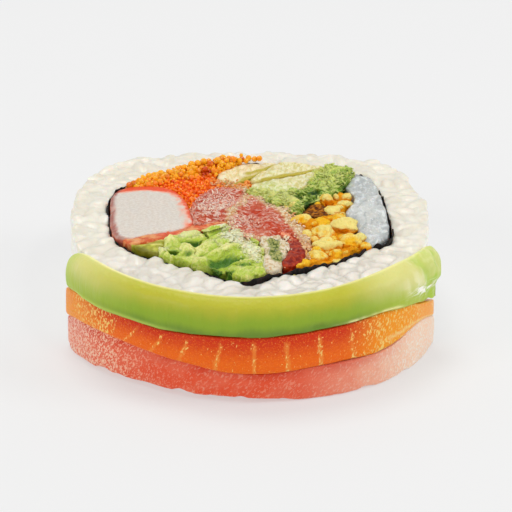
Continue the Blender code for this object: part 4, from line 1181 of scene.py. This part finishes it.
points, faces, angle, out, up = slab(
    AVOCADO_SECTION, (-69, 72), ((-69, 0, 72), (2.5, 3.1, 2.9)), AVOCADO_FOOT, AVOCADO_TOP, 0.2, 161)
left_lip = bell(up, 0.1, 0.05) * ramp(angle, -64, -56) * ramp(angle, -16, -30)
right_lip = bell(up, 0.1, 0.035) * ramp(angle, 22, 32) * ramp(angle, 49, 45)
fold = bell(angle - 60 + (up - 0.7) * 6, 0, 2.4) * ramp(up, 0.35, 0.6)
lobe = ramp(angle, 60, 66) * ramp(up, 0.35, 0.65)
hollow = bell(angle, 60, 8) * bell(up, 0.36, 0.12)
dents = rough(points, (7, 162, 0.2), (2.6, 165, 0.1)) + unevenness(points * (1, 1, 0.3), 1.6, 163) * 0.05
dents += rough(points, (1.5, 166, 0.22), (0.8, 167, 0.12)) * ramp(angle, 46, 60)
dents += left_lip * 0.14 + right_lip * 0.18 - fold * 0.3 + lobe * 0.45 - hollow * 0.2
dents -= ramp(angle, 56, 64) * ramp(up, 0.55, 0.3) * 0.7 + bell(angle, 19, 2.5) * bell(up, 0.16, 0.1) * 0.3
points = pushed_out(points, faces, out, dents)
mottled = ramp(unevenness(points, 1.3, 164), -0.15, 0.4)
freckled = ramp(unevenness(points, 0.6, 168), 0.05, 0.4)
edge = ramp(up, 0.97, 1.0) * ramp(out, 0.26, 0.06) * (0.7 + 0.3 * ramp(-angle, 20, 50))
patch = bell(angle, 54, 6) * bell(up, 0.55, 0.22)
patch += freckled * ramp(angle, 50, 60) * ramp(up, 0.55, 0.9) * 0.7
green = ramp(angle, 57, 66) * (0.5 + 0.5 * mottled) + (fold + ramp(angle, -60, -68)) * 0.5
# painted highlight: the lips at the foot are painted paler and brighter green; the pale top rim is the flesh's
# own colour
serve("avocado_slab", "avocado", avocado, points, faces, up=up, green=green + left_lip * 0.6,
      edge=edge + left_lip * 0.12 + right_lip * (0.3 + 0.6 * mottled),
      # painted sheen, paler towards both ends
      ends=np.maximum(ramp(angle, -30, -66), ramp(angle, 26, 48)),
      pale=patch * (0.3 + 0.7 * mottled) + lobe * (1 - mottled) * 0.25,
      wet=hollow * 1.3 + 0.5 * right_lip * mottled)


# The salmon lies below it: a raw slice cut across the grain, orange, with a pale line of fat about
# every 5 mm and a wet sheen, which is painted brighter orange towards both ends. Its top is painted
# darker red as shade under the avocado. The fat breaks up into flecks towards both ends.

# The lines of fat: where each stands, in degrees round from the front, and how clear it is.
FAT_LINES = [
    (-45, 0.5), (-36, 0.7), (-27.5, 0.8), (-19, 0.8), (-9, 0.9),
    (0.8, 1), (10, 0.9), (20, 1), (30, 0.7), (40, 0.5),
]

salmon = Finish("salmon", 0.34, coat=0.06, gloss=0.16)
mottle = salmon.cloud(0.45, 3, twist=0.6)
specks = salmon.cloud(0.3, 3, (1, 1, 0.5), 0.4, 20) + (salmon.mask("fat") + salmon.mask("speckle")) * 0.14
salmon.paint(
    # painted shade: darker red along the top, under the avocado's edge
    (244, 108, 12), ((216, 52, 10), salmon.frayed("up", mottle, 0.3, 0.2, 0.95)),
    # painted sheen: brighter orange towards both ends
    ((255, 160, 14), salmon.mask("ends")), ((248, 160, 66), salmon.frayed("fat", mottle, 1, 0.2, 1.1) * 0.7),
    ((255, 216, 150), salmon.frayed("swoosh", mottle, 1, 0.2, 1) * 0.8),
    ((255, 150, 50), salmon.cloud(0.22, 2).between(0.55, 0.65) * 0.4),
    ((255, 218, 126), specks.between(0.67, 0.73) * 0.9))
salmon.relief(mottle, 0.25)

points, faces, angle, out, up = slab(
    FISH_SECTION, (-71, 73), ((-71, 0, 30, 50, 73), (2.2, 2.5, 2.8, 2.4, 1.7)),
    SALMON_FOOT, AVOCADO_FOOT, 0.15, 171)
lean = angle + (up - 0.5) * np.interp(angle, (-70, -30, 0, 70), (-14, -6, 0, 3))
lean -= unevenness(points, 1.2, 172) * 0.5
fat = np.max([bell(lean, place, 0.8) * strength for place, strength in FAT_LINES], axis=0) * ramp(up, 1, 0.7)
swoosh = bell(up - 0.27 + (angle - 43) * 0.008, 0, 0.09) * ramp(angle, 38, 46) * 0.8
swoosh += bell(up - 0.62 + (60 - angle) * 0.02, 0, 0.1) * ramp(angle, 50, 60) * 0.3
speckle = ramp(angle, -66, -58) * ramp(angle, -38, -46)
speckle += ramp(angle, 24, 38) * (1 - 0.4 * ramp(angle, 54, 64)) * 0.85
points = pushed_out(points, faces, out, unevenness(points, 5, 173) * 0.12 - fat * 0.06)
serve("salmon_slab", "salmon", salmon, points, faces, up=up, fat=fat, speckle=speckle, swoosh=swoosh,
      ends=np.maximum(ramp(angle, -40, -66) * 0.8, ramp(angle, 26, 46) * 0.95))


# The tuna is the lowest: a pink slice of belly with fine pale marbling, painted paler towards the
# right and the left end as sheen, and darker along its top as shade under the salmon, its lower edge a
# little ragged where it meets the board.

tuna = Finish("tuna", 0.32, glow_depth=0.8, coat=0.08, gloss=0.15)
marble = tuna.cloud(0.26, 3, (1, 1, 0.45), 0.6, 40)
blotched = tuna.cloud(4, 2).between(0.4, 0.6) * (1 - tuna.mask("pale"))
streak = tuna.mix((255, 204, 172), ((255, 244, 234), tuna.mask("pale")))
streaky = (marble + tuna.mask("speckle") * 0.1).between(0.57, 0.66)
tuna.paint(
    # painted sheen paler towards the ends, and painted shade darker along the top
    (236, 88, 50), ((255, 212, 182), tuna.mask("pale")), ((204, 52, 26), tuna.mask("upper") * 0.6),
    ((240, 120, 88), blotched * 0.5), (streak, streaky * tuna.mask("speckle")))
tuna.relief(marble, 0.2)

points, faces, angle, out, up = slab(
    FISH_SECTION, (-71, 72),
    ((-71, -55, -40, -30, 0, 25, 40, 56, 72), (2, 2.2, 1.8, 1.6, 2.2, 2.6, 3, 2.4, 1.9)),
    TUNA_FOOT, SALMON_FOOT, 0.2, 181, flat_foot=True)
points[:, 2] += np.maximum(rough(points * (1, 1, 0), (1.6, 182, 0.4), (4, 183, 0.35)), 0) * ramp(up, 0.3, 0)
dents = unevenness(points, 4, 184) * 0.15 + unevenness(points, 1.2, 185) * 0.06 * ramp(angle, 20, 50)
points = pushed_out(points, faces, out, dents)
# painted shade along the top, and painted sheen towards the ends
serve("tuna_slab", "tuna", tuna, points, faces, upper=ramp(up, 0.6, 1) * ramp(angle, 60, 20),
      pale=ramp(angle, 5, 58) + ramp(angle, -40, -66) * 0.2,
      speckle=0.25 + ramp(angle, -25, -50) * 0.6 + (1 - up) * 0.15 + ramp(angle, 30, 55) * 0.4)


# The floor and the light: a pale board under a soft white studio light from above, in front and
# both sides. The camera stands in front, a little above the slice.

BOARD = 4  # half its width, in metres
CAMERA = Vector((-0.208, -476.28, 228.8)) * MM
AIM = Vector((0.692, 3.32, 9.9)) * MM
LAMP_AIM = Vector((0, 0, 0.01))

board = Finish("floor", 0.9, glow=0.0, gloss=0.0)
board.paint((174, 174, 174), ((172, 172, 172), board.cloud(60)))
board.set("Emission Color", (1, 1, 1, 1))
board.set("Emission Strength", 0.43)
mesh = bpy.data.meshes.new("floor")
corners = [(x * BOARD, y * BOARD, 0) for x, y in ((-1, -1), (1, -1), (1, 1), (-1, 1))]
mesh.from_pydata(corners, [], [(0, 1, 2, 3)])
mesh.materials.append(board.material)
scene = bpy.context.scene


def placed(name, data, place, aim=None):
    """Stands something in the studio, facing its aim."""
    thing = bpy.data.objects.new(name, data)
    thing.location = place
    if aim:
        thing.rotation_euler = (aim - thing.location).to_track_quat("-Z", "Y").to_euler()
    scene.collection.objects.link(thing)
    return thing


placed("floor", mesh, (0, 0, -0.00005))

scene.view_settings.view_transform = "Standard"
scene.world = bpy.data.worlds.new("studio")
scene.world.use_nodes = True
sky = scene.world.node_tree.nodes["Background"].inputs
sky["Color"].default_value = (1, 1, 1, 1)
sky["Strength"].default_value = 0.56

for name, place, size, power in (
    ("over", (-0.1, 0.2, 0.7), 0.3, 1.6), ("right", (0.6, -0.1, 0.35), 0.25, 1.1),
    ("front", (-0.68, -0.5, 0.42), 0.4, 1.8), ("key", (0.3, -0.4, 0.6), 0.1, 0.5),
):
    lamp = bpy.data.lights.new(name, "AREA")
    lamp.size = size
    lamp.energy = power
    placed(name, lamp, place, LAMP_AIM)

lens = bpy.data.cameras.new("camera")
lens.lens = 228.7
lens.clip_start = 0.01
scene.camera = placed("camera", lens, CAMERA, AIM)
